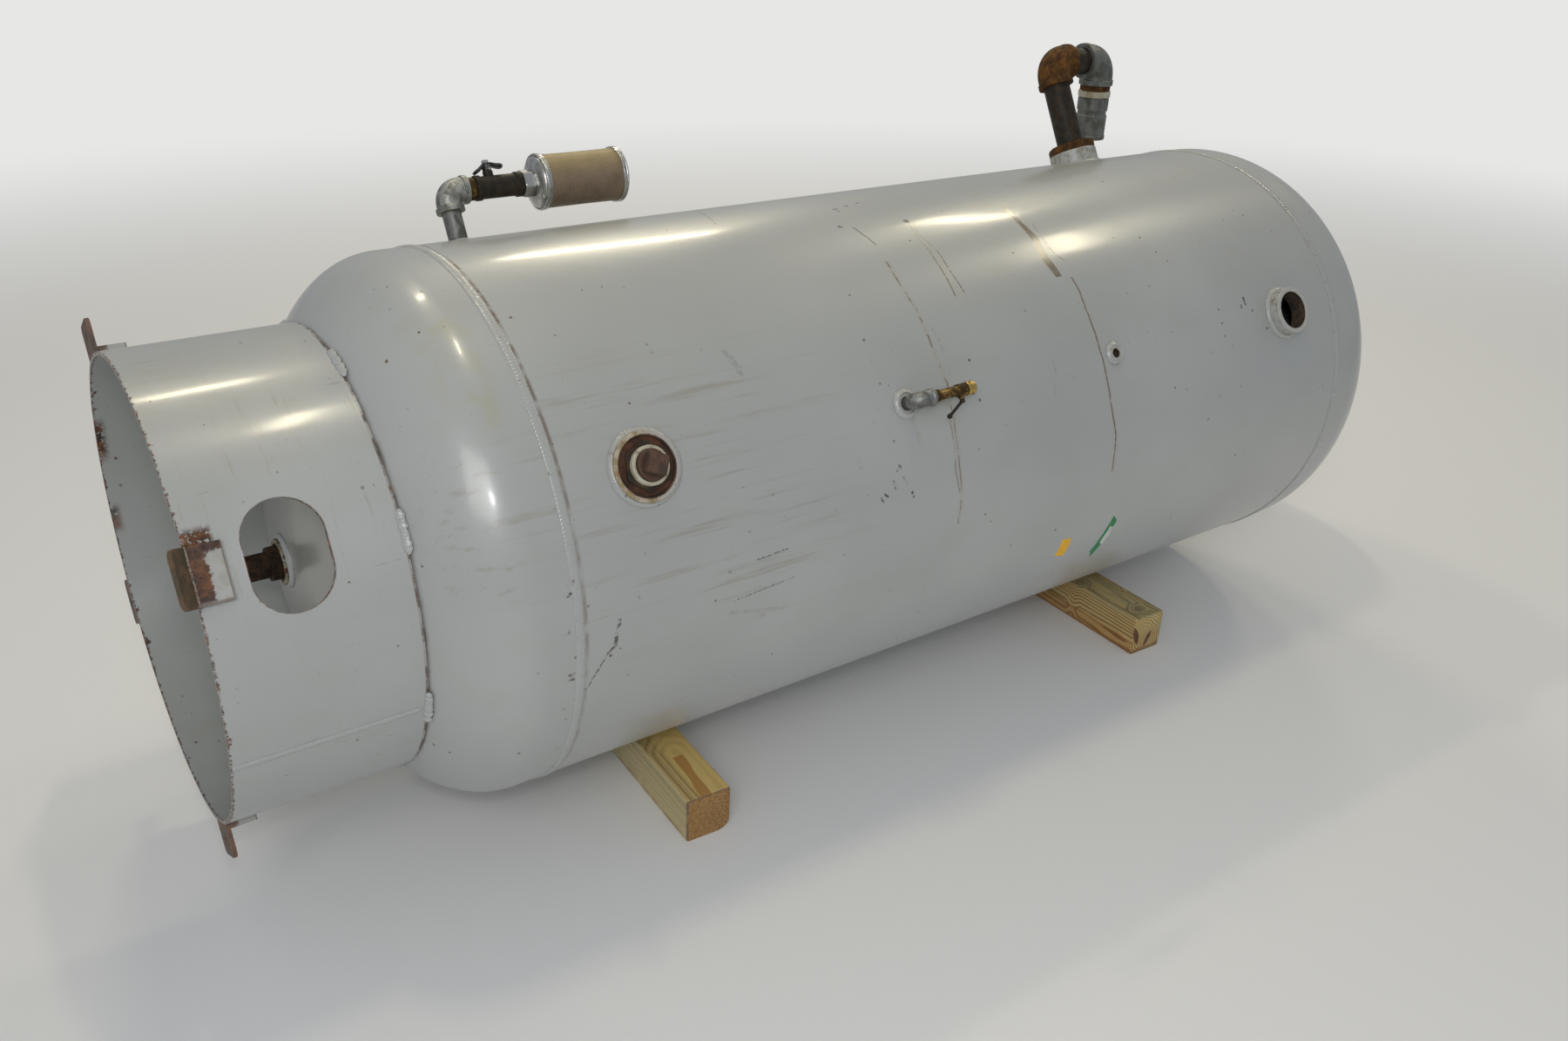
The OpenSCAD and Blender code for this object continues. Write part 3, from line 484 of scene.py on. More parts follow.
# the plugged port's coupling: grey outside, a face smeared cream, pink and tan, rust by the bushing
def plugRimPaint(name):
    look = dict(pale=(0.43, 0.445, 0.435), deep=(0.36, 0.355, 0.31), cream=(0.45, 0.385, 0.30),
                tan=(0.27, 0.20, 0.095), pink=(0.40, 0.375, 0.345),
                rust=((0.030, 0.018, 0.012), (0.105, 0.050, 0.026)))
    paint = Finish(name, 0.55)
    wide, height = paint.aboutPort(*ports["plug"])
    ragged, fine = paint.noise(42, 5, 0.65), paint.noise(190, 5, 0.7)
    along = paint.unrolled()[0] - ports["plug"][0]
    cream = paint.blend(spread(ragged, 0.42, 0.60), look["cream"], look["tan"])
    cream = paint.blend(spread(along, -10, 30), cream, look["pink"])
    face = spread(height, plug["rim"] - 3.5, plug["rim"] - 1.5)
    smear = product(spread(along, -30, -48), spread(ragged, 0.34, 0.50), 0.75)
    paint.colour = paint.blend(spread(ragged, 0.35, 0.65), look["pale"], look["deep"])
    paint.lay(cream, strongest(face, smear))
    bare, chips = fades(wide + fine * 3.0, 48.6, 49.8), product(face, spread(fine, 0.62, 0.68), 0.8)
    paint.lay(paint.rust(*look["rust"]), strongest(bare, chips))
    paint.rough = spread(fine, 0.3, 0.7, 0.45, 0.7)
    paint.bump(ragged, 0.0010, 0.6)
    return paint.done()


# the square plug: painted shade darkens its sides and the body below, redder round its foot, brown on top
def plugHeadPaint(name):
    look = dict(deep=(0.050, 0.030, 0.019), brown=(0.105, 0.052, 0.030), dark=(0.016, 0.010, 0.008),
                foot=(0.085, 0.038, 0.022))
    iron = Finish(name, 0.75)
    wide, height = iron.aboutPort(*ports["plug"])
    ragged, fine = iron.noise(60, 5, 0.7), iron.noise(300, 5, 0.75)
    fromTop = height - plug["head"]
    iron.colour = iron.blend(spread(ragged, 0.38, 0.66), look["deep"], look["brown"])
    # painted shade: the square's sides and the body below it are darkened
    iron.lay(look["dark"], fades(fromTop, -19.0, -2.2), 0.62)
    iron.lay(look["foot"], fades(fromTop, -16.5, -15.5), spread(wide, 14.0, 19.0), 0.75)
    iron.rough = spread(fine, 0.3, 0.7, 0.55, 0.85)
    iron.bump(ragged, 0.0014, 0.5)
    iron.bump(fine, 0.0005, 0.8)
    return iron.done()


# a clip: rust over the bend, paint on the far half, an olive flange; the front one is rustier, with a painted
# highlight along its bend
def clipPaint(name, front):
    look = dict(rust=((0.045, 0.024, 0.016), (0.175, 0.072, 0.030)), pale=(0.40, 0.405, 0.395),
                deep=(0.32, 0.305, 0.26), rim=(0.13, 0.095, 0.08), bare=(0.47, 0.45, 0.40),
                olive=(0.060, 0.046, 0.022), tan=(0.125, 0.072, 0.038), leg=43.0)
    paint = Finish(name, 0.7)
    along, angle = paint.unrolled()
    fromRim = along + tank["skirtReach"]
    ragged, fine = paint.noise(46, 5, 0.7), paint.noise(240, 5, 0.7)
    edge = fromRim + (ragged - 0.5) * 44.0
    rust, rim = fades(edge, 12, 20) * 0.9, spread(fromRim, look["leg"] - 0.4, look["leg"] + 0.8)
    if front:
        high = fades(angle + (fine - 0.5) * 3.0, 56.2, 57.0)
        rust = strongest(fades(edge, 18, 22) * fades(angle, 66.0, 67.2), high)
        rim = strongest(rim, spread(angle, 66.3, 66.8))
    paint.colour = paint.blend(spread(ragged, 0.35, 0.7), look["pale"], look["deep"])
    paint.lay(paint.rust(*look["rust"]), rust)
    paint.lay(look["rim"], rim, 0.75)
    # painted highlight: on the front clip, a pale line along its bend by the rim
    if front:
        paint.lay(look["bare"], near(fromRim, 1.0, 0.8, 2.4), spread(fine, 0.40, 0.52), 0.8)
    paint.lay(paint.blend(spread(ragged, 0.40, 0.62), look["olive"], look["tan"]), fades(fromRim, -3.2, -1.6))
    paint.rough = spread(fine, 0.3, 0.7, 0.5, 0.85)
    paint.bump(ragged, 0.002, 0.5)
    paint.bump(fine, 0.0005, 0.7)
    return paint.done()


# iron with rust: pitted, dull, with orange bloom
def rustyIron(name, dark, bright, roughness=0.82):
    iron = Finish(name, roughness, specular=0.22)
    iron.colour = iron.rust(dark, bright)
    pits = iron.noise(330, 5, 0.7)
    iron.rough = spread(pits, 0.3, 0.7, roughness - 0.2, roughness + 0.1)
    iron.bump(iron.noise(70, 4, 0.6), 0.0012, 0.5)
    iron.bump(pits, 0.0004, 0.7)
    return iron.done()


# zinc coat: cells of spangle, dulled, with grime in the hollows
def galvanisedIron(name, pale, deep, metallic, spangle):
    grime = (0.10, 0.085, 0.06)
    zinc = Finish(name, 0.42, metallic)
    tone = zinc.cells(spangle, (1, 1, 0.6))[0]
    blotch = zinc.noise(48, 5, 0.65)
    zinc.colour = zinc.blend(tone, deep, pale)
    zinc.lay(grime, spread(blotch, 0.48, 0.68), 0.65)
    zinc.rough = tone * 0.16 + spread(blotch, 0.3, 0.7, 0.30, 0.52)
    zinc.bump(zinc.noise(420, 4, 0.7), 0.0003, 0.5)
    return zinc.done()


def tarnishedBrass(name, pale, share):
    dark = (0.075, 0.048, 0.020)
    brass = Finish(name, 0.38, 0.9)
    tarnish = spread(brass.noise(60, 5, 0.65), *share)
    scratch = brass.noise(6, 4, 0.6, (30, 220, 220))
    brass.colour = brass.blend(tarnish, pale, dark)
    brass.rough = spread(tarnish + scratch, 0.3, 1.6, 0.28, 0.62)
    brass.bump(scratch, 0.0002, 0.4)
    return brass.done()


def zincPlate(name):
    bright, dull = (0.56, 0.56, 0.55), (0.33, 0.315, 0.275)
    zinc = Finish(name, 0.32, 0.95)
    blotch = zinc.noise(40, 5, 0.6)
    zinc.colour = zinc.blend(spread(blotch, 0.42, 0.68), bright, dull)
    zinc.rough = spread(blotch, 0.3, 0.7, 0.24, 0.44)
    zinc.bump(zinc.noise(5, 3, 0.6, (60, 400, 400)), 0.0002, 0.3)
    return zinc.done()


# cream sealant and primer, chipped down to rust
def creamPrimer(name, chipped, tone):
    look = dict(deep=(0.36, 0.315, 0.20), pale=(0.50, 0.48, 0.38))
    primer = Finish(name, 0.6)
    deep, pale = (tuple(tone * v for v in look[key]) for key in ("deep", "pale"))
    primer.colour = primer.blend(spread(primer.noise(40, 4), 0.35, 0.65), deep, pale)
    bare = spread(primer.noise(95, 5, 0.7), *chipped)
    primer.lay(primer.rust(), bare)
    primer.rough = spread(bare, 0, 1, 0.5, 0.85)
    primer.bump(bare, 0.0005, 0.6)
    return primer.done()


# woven wire: two families of fine threads, one along the tube and one round it, and a painted highlight that
# turns its upper side gold
def wovenWire(name, centre, degrees):
    wires = dict(hoop=0.00235, round=118)             # metres between hoops, wires round the tube
    look = dict(clean=(0.37, 0.275, 0.19), deep=(0.25, 0.185, 0.13), top=(0.52, 0.41, 0.19),
                wire=(0.115, 0.085, 0.055))
    mesh = Finish(name, 0.5, 0.35)
    shifted = mesh.mapped(mesh.coords, shift=tuple(-centre / 1000))
    x, y, z = mesh.axes(mesh.mapped(shifted, turn=(-math.radians(degrees), 0, 0)))
    threads = [y.calc("ARCTAN2", z) * (wires["round"] / (2 * math.pi)), x / wires["hoop"]]
    wireHere = strongest(*[spread(abs(value.calc("FRACT") - 0.5), 0.18, 0.42) for value in threads])
    tan = mesh.blend(spread(mesh.noise(30, 5, 0.6), 0.35, 0.7), look["clean"], look["deep"])
    # painted highlight: the upward-facing wall turns a lighter gold
    tan = mesh.blend(spread(mesh.upward(), 0.1, 1.0, 0.0, 0.75), tan, look["top"])
    mesh.colour = mesh.blend(wireHere, look["wire"], tan)
    mesh.bump(wireHere, 0.0005, 0.9)
    return mesh.done()


def blackDip(name):
    black, bare = (0.018, 0.018, 0.019), (0.36, 0.35, 0.33)
    dip = Finish(name, 0.42)
    worn = dip.noise(120, 4, 0.65)
    dip.colour = dip.blend(spread(worn, 0.56, 0.62), black, bare)
    dip.rough = spread(worn, 0.3, 0.7, 0.32, 0.6)
    dip.bump(worn, 0.0003, 0.4)
    return dip.done()


def tapeFilm(name, tone):
    film = Finish(name, 0.45)
    crease = film.noise(90, 4, 0.6)
    film.colour = film.blend(spread(crease, 0.4, 0.8), tone, tuple(0.75 * v for v in tone))
    film.bump(crease, 0.0008, 0.6)
    return film.done()


# softwood: rings round a pith that runs lengthwise, so they show as grain on the sides and rings at the ends;
# every measure is in millimetres, in the timber's own frame
def pineWood(name, middle, yaw, pith, knots, marks, ring, strength):
    look = dict(early=(0.60, 0.435, 0.170), late=(0.215, 0.110, 0.036), weathered=(0.50, 0.445, 0.250),
                knot=(0.15, 0.085, 0.035))
    wood = Finish(name, 0.72)
    spot = wood.mapped(wood.coords, shift=(-middle / 1000, 0, 0))
    spot = wood.mapped(spot, turn=(0, 0, -math.radians(yaw)))
    x, y, z = (part * 1000.0 for part in wood.axes(spot))
    drift = (wood.noise(2.2, 3, 0.5, (6, 1.1, 6), coords=spot) - 0.5) * 22.0
    radius = hypotenuse(x - pith[0] + drift, z - pith[1] + drift)
    knotMasks = []
    for place, size, dark in knots:                   # the rings bend round each knot
        away = hypotenuse(x - place[0], y - place[1]) + drift * 0.4
        radius = fades(away, 0, size * 3.2) * (ring * 2.6) + radius
        knotMasks.append(fades(away, size * 0.7, size * 1.1) * dark)
    share = (radius / ring).calc("FRACT")
    late = spread(share, 0.36, 0.80) * fades(share, 0.93, 1.0)
    fibre = wood.noise(3, 5, 0.65, (220, 7, 220), coords=spot)
    wood.colour = wood.blend(late * strength, look["early"], look["late"])
    wood.lay(look["late"], spread(fibre, 0.45, 0.75), 0.3)
    wood.lay(look["weathered"], spread(wood.noise(6, 5, 0.6, (3, 1, 3), coords=spot), 0.44, 0.74), 0.4)
    wood.lay(look["knot"], strongest(*knotMasks), 0.8)
    marks(wood, spot, x, y, z, fibre)
    wood.rough = spread(fibre, 0.3, 0.7, 0.62, 0.85)
    wood.bump(fibre, 0.0006, 0.5)
    wood.bump(late, 0.0004, 0.5)
    return wood.done()


# the left timber: gold on top with a brown stripe, fine dark lines by the left edge, an orange sawn end
def leftMarks(wood, spot, x, y, z, fibre):
    look = dict(gold=(0.78, 0.55, 0.17), side=(0.53, 0.475, 0.285), line=(0.150, 0.105, 0.045),
                stripe=(0.440, 0.225, 0.060), edge=(0.24, 0.10, 0.035), end=(0.285, 0.128, 0.030),
                grain=(0.150, 0.062, 0.018), outline=(0.125, 0.095, 0.085),
                topLines=(-38.5, -35.0, -30.0, -21.5), sideLines=(83.5, 79.0, 75.5, 61.0))
    rough = wood.noise(60, 4, 0.6, (1, 0.4, 1), coords=spot)
    top, side, end = spread(z, 84, 87), fades(x, -42.5, -40.5), fades(y, -371.2, -370.4)
    wood.lay(look["gold"], top, spread(x, -30, 0), 0.50)
    wood.lay(look["side"], side, 0.65)
    lines = [fades(abs(x - place + y * 0.006), 0.3, 1.0) * top for place in look["topLines"]]
    lines += [fades(abs(z - place - y * 0.008), 0.3, 1.0) * side for place in look["sideLines"]]
    wood.lay(look["line"], strongest(*lines), 0.65)
    away = abs(x - 22.1 - y * 0.0714) + (rough - 0.5) * 4.0 + near(y, -312, 0, 45) * 2.8
    wood.lay(look["stripe"], top, fades(away, 9.8, 11.6), fades(y, -248.5, -246.5),
             spread(fibre, 0.2, 0.5, 0.75, 0.95))
    wood.lay(look["edge"], spread(x, -40.5, -42.5), spread(z, 14, 4), spread(rough, 0.4, 0.6), 0.6)
    wood.lay(look["end"], end, 0.66)
    wood.lay(look["grain"], end, spread(wood.noise(150, 4, 0.75, coords=spot), 0.44, 0.60), 0.45)
    outline = strongest(spread(x, -37.5, -41.5) * 0.75, spread(z + rough * 6.0, 85.5, 88.5) * 0.55)
    wood.lay(look["outline"], outline, end, spread(rough, 0.30, 0.55))


# the right timber: orange heart low on its side, grey green on top, and two splits in its end
def rightMarks(wood, spot, x, y, z, fibre):
    look = dict(heart=(0.315, 0.125, 0.030), green=(0.265, 0.265, 0.155), pale=(0.66, 0.545, 0.235),
                foot=(0.20, 0.105, 0.050), deep=(0.075, 0.022, 0.012), brown=(0.150, 0.060, 0.028),
                splits=(((-44, 70), (-27, 20), 8.0), ((-6, 8), (13, 48), 6.4)))
    rough = wood.noise(52, 4, 0.6, (1, 0.35, 1), coords=spot)
    top, side, end = spread(z, 84, 87), fades(x, -42.5, -40.5), fades(y, -371.2, -370.4)
    low = z + (rough - 0.5) * 16.0
    bands = strongest(fades(low, 4, 14) * 0.9, near(low, 30, 1.5, 4.5) * 0.75, fades(low, 28, 40) * 0.35)
    wood.lay(look["heart"], bands, side)
    wood.lay(look["green"], top, spread(rough, 0.30, 0.62, 0.12, 0.50))
    wood.lay(look["pale"], end, spread(z, 30, 60), 0.15)
    wood.lay(look["foot"], end, fades(z + rough * 12.0, 12, 20), 0.7)
    shade = wood.blend(spread(rough, 0.4, 0.6), look["deep"], look["brown"])
    wood.lay(shade, strongest(*[split(x, z, *places) for places in look["splits"]]), end, 0.95)


# a split in the wood's end: a dark lens from one (x, z) place to another
def split(x, z, start, finish, half):
    length = math.hypot(finish[0] - start[0], finish[1] - start[1])
    ux, uz = (finish[0] - start[0]) / length, (finish[1] - start[1]) / length
    dx, dz = x - (start[0] + finish[0]) / 2, z - (start[1] + finish[1]) / 2
    share = (dx * ux + dz * uz) / (length / 2)
    return spread(share * share * -half + half - abs(dz * ux - dx * uz), -0.8, 1.2)


shellPaint = paintedSteel("shellPaint", shellMarks)
headPaint = paintedSteel("headPaint", headMarks)
skirtPaint = paintedSteel("skirtPaint", skirtMarks, skirtRust, 0.5)
weldPaint = paintedSteel("weldPaint", None, weldRust, 0.6)
plugRim = plugRimPaint("plugRim")
plugHead = plugHeadPaint("plugHead")
plugRust = rustyIron("plugRust", (0.045, 0.024, 0.016), (0.105, 0.044, 0.024))
riserRust = rustyIron("riserRust", (0.048, 0.021, 0.006), (0.165, 0.070, 0.012))
drainRust = rustyIron("drainRust", (0.016, 0.010, 0.007), (0.070, 0.036, 0.018))
clipRust = clipPaint("clipRust", True)
plainClip = clipPaint("plainClip", False)
hexIron = rustyIron("hexIron", (0.028, 0.022, 0.016), (0.070, 0.046, 0.028))
darkIron = rustyIron("darkIron", (0.018, 0.016, 0.012), (0.044, 0.030, 0.016), 0.55)
valveIron = rustyIron("valveIron", (0.018, 0.016, 0.012), (0.045, 0.032, 0.018), 0.55)
zincCast = galvanisedIron("zincCast", (0.46, 0.47, 0.44), (0.19, 0.195, 0.18), 0.75, 120)
cockZinc = galvanisedIron("cockZinc", (0.33, 0.34, 0.33), (0.15, 0.155, 0.15), 0.7, 80)
nippleZinc = galvanisedIron("nippleZinc", (0.25, 0.255, 0.24), (0.105, 0.105, 0.095), 0.55, 60)
zincDull = galvanisedIron("zincDull", (0.21, 0.22, 0.205), (0.12, 0.125, 0.115), 0.5, 70)
brassDark = tarnishedBrass("brassDark", (0.40, 0.255, 0.075), (0.30, 0.52))
brassBright = tarnishedBrass("brassBright", (0.52, 0.36, 0.11), (0.50, 0.70))
brightZinc = zincPlate("brightZinc")
primer = creamPrimer("primer", (0.50, 0.56), 0.8)
lipPrimer = creamPrimer("lipPrimer", (0.60, 0.66), 1.0)
blackSteel = blackDip("blackSteel")
print("finishes made")


# shapes: points worked out as whole arrays, in millimetres in a piece's own frame. The faces of a grid: each
# joins a point, the next in its column, and the two beside them
def gridFaces(rows, columns, closeRows=False, closeColumns=True):
    row, column = np.meshgrid(np.arange(rows if closeRows else rows - 1),
                              np.arange(columns if closeColumns else columns - 1), indexing="ij")
    nextRow, nextColumn = (row + 1) % rows, (column + 1) % columns
    return np.stack([row * columns + column, nextRow * columns + column, nextRow * columns + nextColumn,
                     row * columns + nextColumn], axis=-1).reshape(-1, 4)


# the two sides of a sheet: the upper one's faces as they come, the lower one's turned over
def sheet(upper, lower):
    faces = gridFaces(*upper.shape[:2], closeColumns=False)
    return [(upper.reshape(-1, 3), faces), (lower.reshape(-1, 3), faces[:, ::-1])]


# rounded outline: every corner becomes an arc, with a point past each end that keeps the straights flat
def rounded(corners, radius, closed=True):
    steps, straight, spare = 3, 1.54, 1.2
    corners = np.asarray(corners, float)
    radii = np.broadcast_to(np.asarray(radius, float), len(corners))
    made = []
    for i, here in enumerate(corners):
        back, on = corners[i - 1] - here, corners[(i + 1) % len(corners)] - here
        backLength, onLength = np.linalg.norm(back), np.linalg.norm(on)
        back, on = back / backLength, on / onLength
        half = 0.5 * math.acos(np.clip(back @ on, -1, 1))
        atEnd = not closed and i in (0, len(corners) - 1)
        if radii[i] == 0 or atEnd or half > straight:
            made.append(here[None])
            continue
        run = min(radii[i] / math.tan(half), 0.4 * backLength, 0.4 * onLength)
        centre = here + (back + on) / np.linalg.norm(back + on) * run / math.cos(half)
        sweep = math.pi - 2 * half
        share = np.linspace(0, 1, steps + 1)[:, None]
        first, last = here + back * run - centre, here + on * run - centre
        arc = centre + (np.sin((1 - share) * sweep) * first + np.sin(share * sweep) * last) / math.sin(sweep)
        made += [(here + back * run * spare)[None], arc, (here + on * run * spare)[None]]
    return np.vstack(made)


# the same outline with no step longer than a given one
def refined(outline, longest, closed=True):
    starts, ends = (outline, np.roll(outline, -1, axis=0)) if closed else (outline[:-1], outline[1:])
    made = []
    for start, end in zip(starts, ends):
        count = max(1, math.ceil(np.linalg.norm(end - start) / longest))
        made.append(start + (end - start) * (np.arange(count) / count)[:, None])
    return np.vstack(made if closed else made + [outline[-1:]])


# turned shape: an outline of (radius, height) pairs carried round the Z axis, left open if it starts on the
# axis; limit caps the radius by angle, and shift adds to it by radius, height and angle
def turned(outline, steps=96, limit=None, shift=None):
    angle = np.linspace(0, 2 * math.pi, steps, endpoint=False)[None, :]
    radius, height = outline[:, :1], outline[:, 1:]
    wide = radius + 0 * angle
    if shift:
        wide = wide + shift(radius, height, angle)
    if limit:
        wide = np.minimum(wide, limit(angle))
    points = np.stack([wide * np.cos(angle), wide * np.sin(angle), height + 0 * angle], axis=-1)
    return points.reshape(-1, 3), gridFaces(len(outline), steps, outline[0, 0] > 0)


# the same from corners, each with its own rounding, and a longest step where the shape needs more points
def lathe(corners, radii, steps=96, step=None, **more):
    closed = corners[0][0] > 0
    outline = rounded(corners, radii, closed)
    return turned(refined(outline, step, closed) if step else outline, steps, **more)


def ring(outer, inner, low, high, edge=1.0, steps=96, **more):
    wall, rim = inner / 2, outer / 2
    return lathe([(wall, low), (rim, low), (rim, high), (wall, high)], edge, steps, **more)


# flats of a polygon prism: the radius at an angle, for a number of sides and the width across flats
def flats(sides, across, turn=0.0):
    step = 2 * math.pi / sides

    def limit(angle):
        return across / 2 / np.cos((angle - turn) % step - step / 2)
    return limit


# screw thread: the wall waves in and out along a helix, and fades at the ends of its length
def screwThread(radius, pitch, depth, low, high):
    def shift(here, height, angle):
        wave = np.abs(((height / pitch - angle / (2 * math.pi)) % 1.0) * 2 - 1)
        fade = np.clip((height - low) / pitch, 0, 1) * np.clip((high - height) / pitch, 0, 1)
        return np.where(np.abs(here - radius) < 0.3, depth * wave * fade, 0.0)
    return shift


# quarter bend: circles carried along a straight, an arc and a straight, from a mouth facing -Z to one facing
# +X; the outline gives (way gone, radius) pairs
def quarterBend(reach, bend, outline, steps=64):
    way, radius = outline[:, 0], outline[:, 1]
    straight, arc = reach - bend, bend * math.pi / 2
    turn = np.clip((way - straight) / bend, 0, math.pi / 2)
    before, after = np.minimum(way - straight, 0), np.maximum(way - straight - arc, 0)
    far, high = bend * (1 - np.cos(turn)) + after, -bend + bend * np.sin(turn) + before
    centre = np.stack([far, 0 * way, high], axis=-1)
    out = np.stack([-np.cos(turn), 0 * turn, np.sin(turn)], axis=-1)
    angle = np.linspace(0, 2 * math.pi, steps, endpoint=False)[None, :, None]
    rim = np.cos(angle) * out[:, None] + np.sin(angle) * np.array([0.0, 1.0, 0.0])
    points = centre[:, None] + radius[:, None, None] * rim
    return points.reshape(-1, 3), gridFaces(len(outline), steps)


def bendLength(reach, bend):
    return 2 * (reach - bend) + bend * math.pi / 2


# a malleable elbow: a thick band at each mouth, a slimmer body, and a recess where the pipe goes in
def castElbow(reach, body, band, bandLength, mouth, steps):
    recess, slope, bend = 4.0, 2.0, body / 2 + 1
    total = bendLength(reach, bend)
    half = [(recess, 0), (recess, mouth / 2), (0, mouth / 2), (0, band / 2), (bandLength, band / 2),
            (bandLength + slope, body / 2)]
    corners = half + [(total - way, radius) for way, radius in half[::-1]]
    radii = [0, 0.4, 0.8, 1.6, 1.4, 2]
    return quarterBend(reach, bend, refined(rounded(corners, radii + radii[::-1], False), 3.0, False), steps)


# directions straight out from the Z axis, at an array of angles
def around(angle):
    return np.stack([np.cos(angle), np.sin(angle), 0 * angle], axis=-1)


# weld bead: half an oval carried along a path, with ripples, over a hidden root
def bead(middle, side, out, height, root, pitch=5.0, closed=True, seed=1, waver=0.12, taper=8.0):
    ripple = dict(points=9, lag=0.4, lift=0.14, wide=0.05, slowWide=0.6, slowSum=2.2)
    rng = np.random.default_rng(seed)
    step = np.linalg.norm(np.roll(middle, -1, axis=0) - middle, axis=1)
    way = np.concatenate([[0.0], np.cumsum(step[:-1])])
    total = way[-1] + (step[-1] if closed else 0.0)
    if closed:
        pitch = total / max(round(total / pitch), 1)
    across = np.linspace(0, math.pi, ripple["points"])[None, :]
    slow = np.zeros(len(way))
    for wave in range(2, 7):                          # a few slow waves that close on themselves
        turns = wave * (3 if total > 900 else 1)
        slow += np.sin(2 * math.pi * turns * way / total + rng.uniform(0, 6.3))
    slow *= waver / ripple["slowSum"]
    scallop = np.cos(2 * math.pi * (way[:, None] / pitch + ripple["lag"] * np.sin(across)))
    lift = height * np.sin(across) * (1 + ripple["lift"] * scallop + slow[:, None])
    wide = 1 + ripple["wide"] * scallop * np.abs(np.cos(across)) + ripple["slowWide"] * slow[:, None]
    wide = np.cos(across) * wide
    if not closed:
        ends = np.clip(np.minimum(way, total - way) / taper, 0, 1)
        shrink = np.sqrt(1 - (1 - ends) ** 2)[:, None]
        lift, wide = lift * shrink, wide * shrink
    top = middle[:, None] + side[:, None] * wide[..., None] + out[:, None] * lift[..., None]
    points = np.concatenate([top, root[:, None]], axis=1)
    return points.reshape(-1, 3), gridFaces(len(way), points.shape[1], closed)


# the shell's fall below a port's tangent plane, by the distance to one side
def fallAt(side):
    return tank["radius"] - np.sqrt(tank["radius"] ** 2 - side ** 2)


# fillet round a coupling: its toe follows the shell's curve and its top runs up the coupling
def filletRound(radius, leg, seed):
    fillet = dict(step=1.1, inset=1.5, under=2.0, height=0.22, pitch=4.5)
    angle = np.linspace(0, 2 * math.pi, int(2 * math.pi * radius / fillet["step"]), endpoint=False)
    out, up = around(angle), np.array([0.0, 0.0, 1.0])
    toe = out * (radius + leg) - up * fallAt((radius + leg) * np.sin(angle))[:, None]
    top = out * radius + up * (leg - fallAt(radius * np.sin(angle)))[:, None]
    root = out * (radius - fillet["inset"]) - up * (fallAt(radius * np.sin(angle)) + fillet["under"])[:, None]
    side = (toe - top) / 2
    normal = out * side[:, 2:] * -1 + up * (side * out).sum(axis=1, keepdims=True)
    normal /= np.linalg.norm(normal, axis=1, keepdims=True)
    return bead((toe + top) / 2, side, normal, fillet["height"] * leg, root, fillet["pitch"], True, seed)


# frames: each gives the turn and the place of a piece's own frame on the tank
def portFrame(x, angle, height=0.0):
    a = math.radians(angle)
    turn = np.array([[1, 0, 0], [0, math.cos(a), -math.sin(a)], [0, math.sin(a), math.cos(a)]])
    return turn, turn @ np.array([0, 0, tank["radius"] + height]) + np.array([x, 0, 0])


# the same frame with its Z axis laid along the tank
def lineFrame(x, angle, height):
    turn, place = portFrame(x, angle, height)
    return turn @ alongTank, place


alongTank = np.array([[0, 0, 1], [0, 1, 0], [-1, 0, 0]])
tankFrame = (np.eye(3), np.zeros(3))
floorFrame = (np.eye(3), -origin)
endFrame = (alongTank.T, np.zeros(3))                 # Z points out of the low head
topFrame = (alongTank, np.array([tank["length"], 0, 0]))


def standing(shape, place):
    return shape[0] @ place[0].T + place[1], shape[1]


# puts shapes together as one piece: doubles merged, faces outwards, edges kept sharp past an angle
def addPiece(name, place, shapes, material, stands=None, body="tank", sharp=40):
    starts = np.cumsum([0] + [len(points) for points, faces in shapes])
    faces = np.vstack([faces + start for (points, faces), start in zip(shapes, starts)])
    points = (np.vstack([standing(shape, place)[0] for shape in shapes]) + origin) / 1000
    mesh = bpy.data.meshes.new(name)
    mesh.from_pydata(points.tolist(), [], faces.tolist())
    worked = bmesh.new()
    worked.from_mesh(mesh)
    bmesh.ops.remove_doubles(worked, verts=worked.verts, dist=2e-6)
    bmesh.ops.dissolve_degenerate(worked, dist=1e-7, edges=worked.edges)
    bmesh.ops.recalc_face_normals(worked, faces=worked.faces)
    for face in worked.faces:
        face.smooth = True
    worked.to_mesh(mesh)
    worked.free()
    mesh.set_sharp_from_angle(angle=math.radians(sharp))
    mesh.materials.append(material)
    item = bpy.data.objects.new(name, mesh)
    bpy.context.scene.collection.objects.link(item)
    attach(item, body)
    if stands:
        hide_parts(stands)


# a weld piece, named for the seam that it stands for
def addWeld(name, node, place, shapes):
    addPiece(name, place, shapes, weldPaint, node, sharp=75)


def giveMaterial(material, *names):
    for name in names:
        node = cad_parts[name]
        if not node.material_slots:
            node.data.materials.append(material)
        for slot in node.material_slots:
            slot.material = material


def dashed(node, ending):
    return node.replace("_", "-") + "-" + ending


# half of a dished head's section, from its flange to a hole or the axis: an ellipse's quarter
def dishCurve(radius, deep, hole, steps):
    share = np.linspace(0, math.acos(hole / radius), steps)
    curve = np.stack([radius * np.cos(share), tank["flange"] + deep * np.sin(share)], axis=-1)
    if not hole:
        curve[-1, 0] = 0.0
    return curve


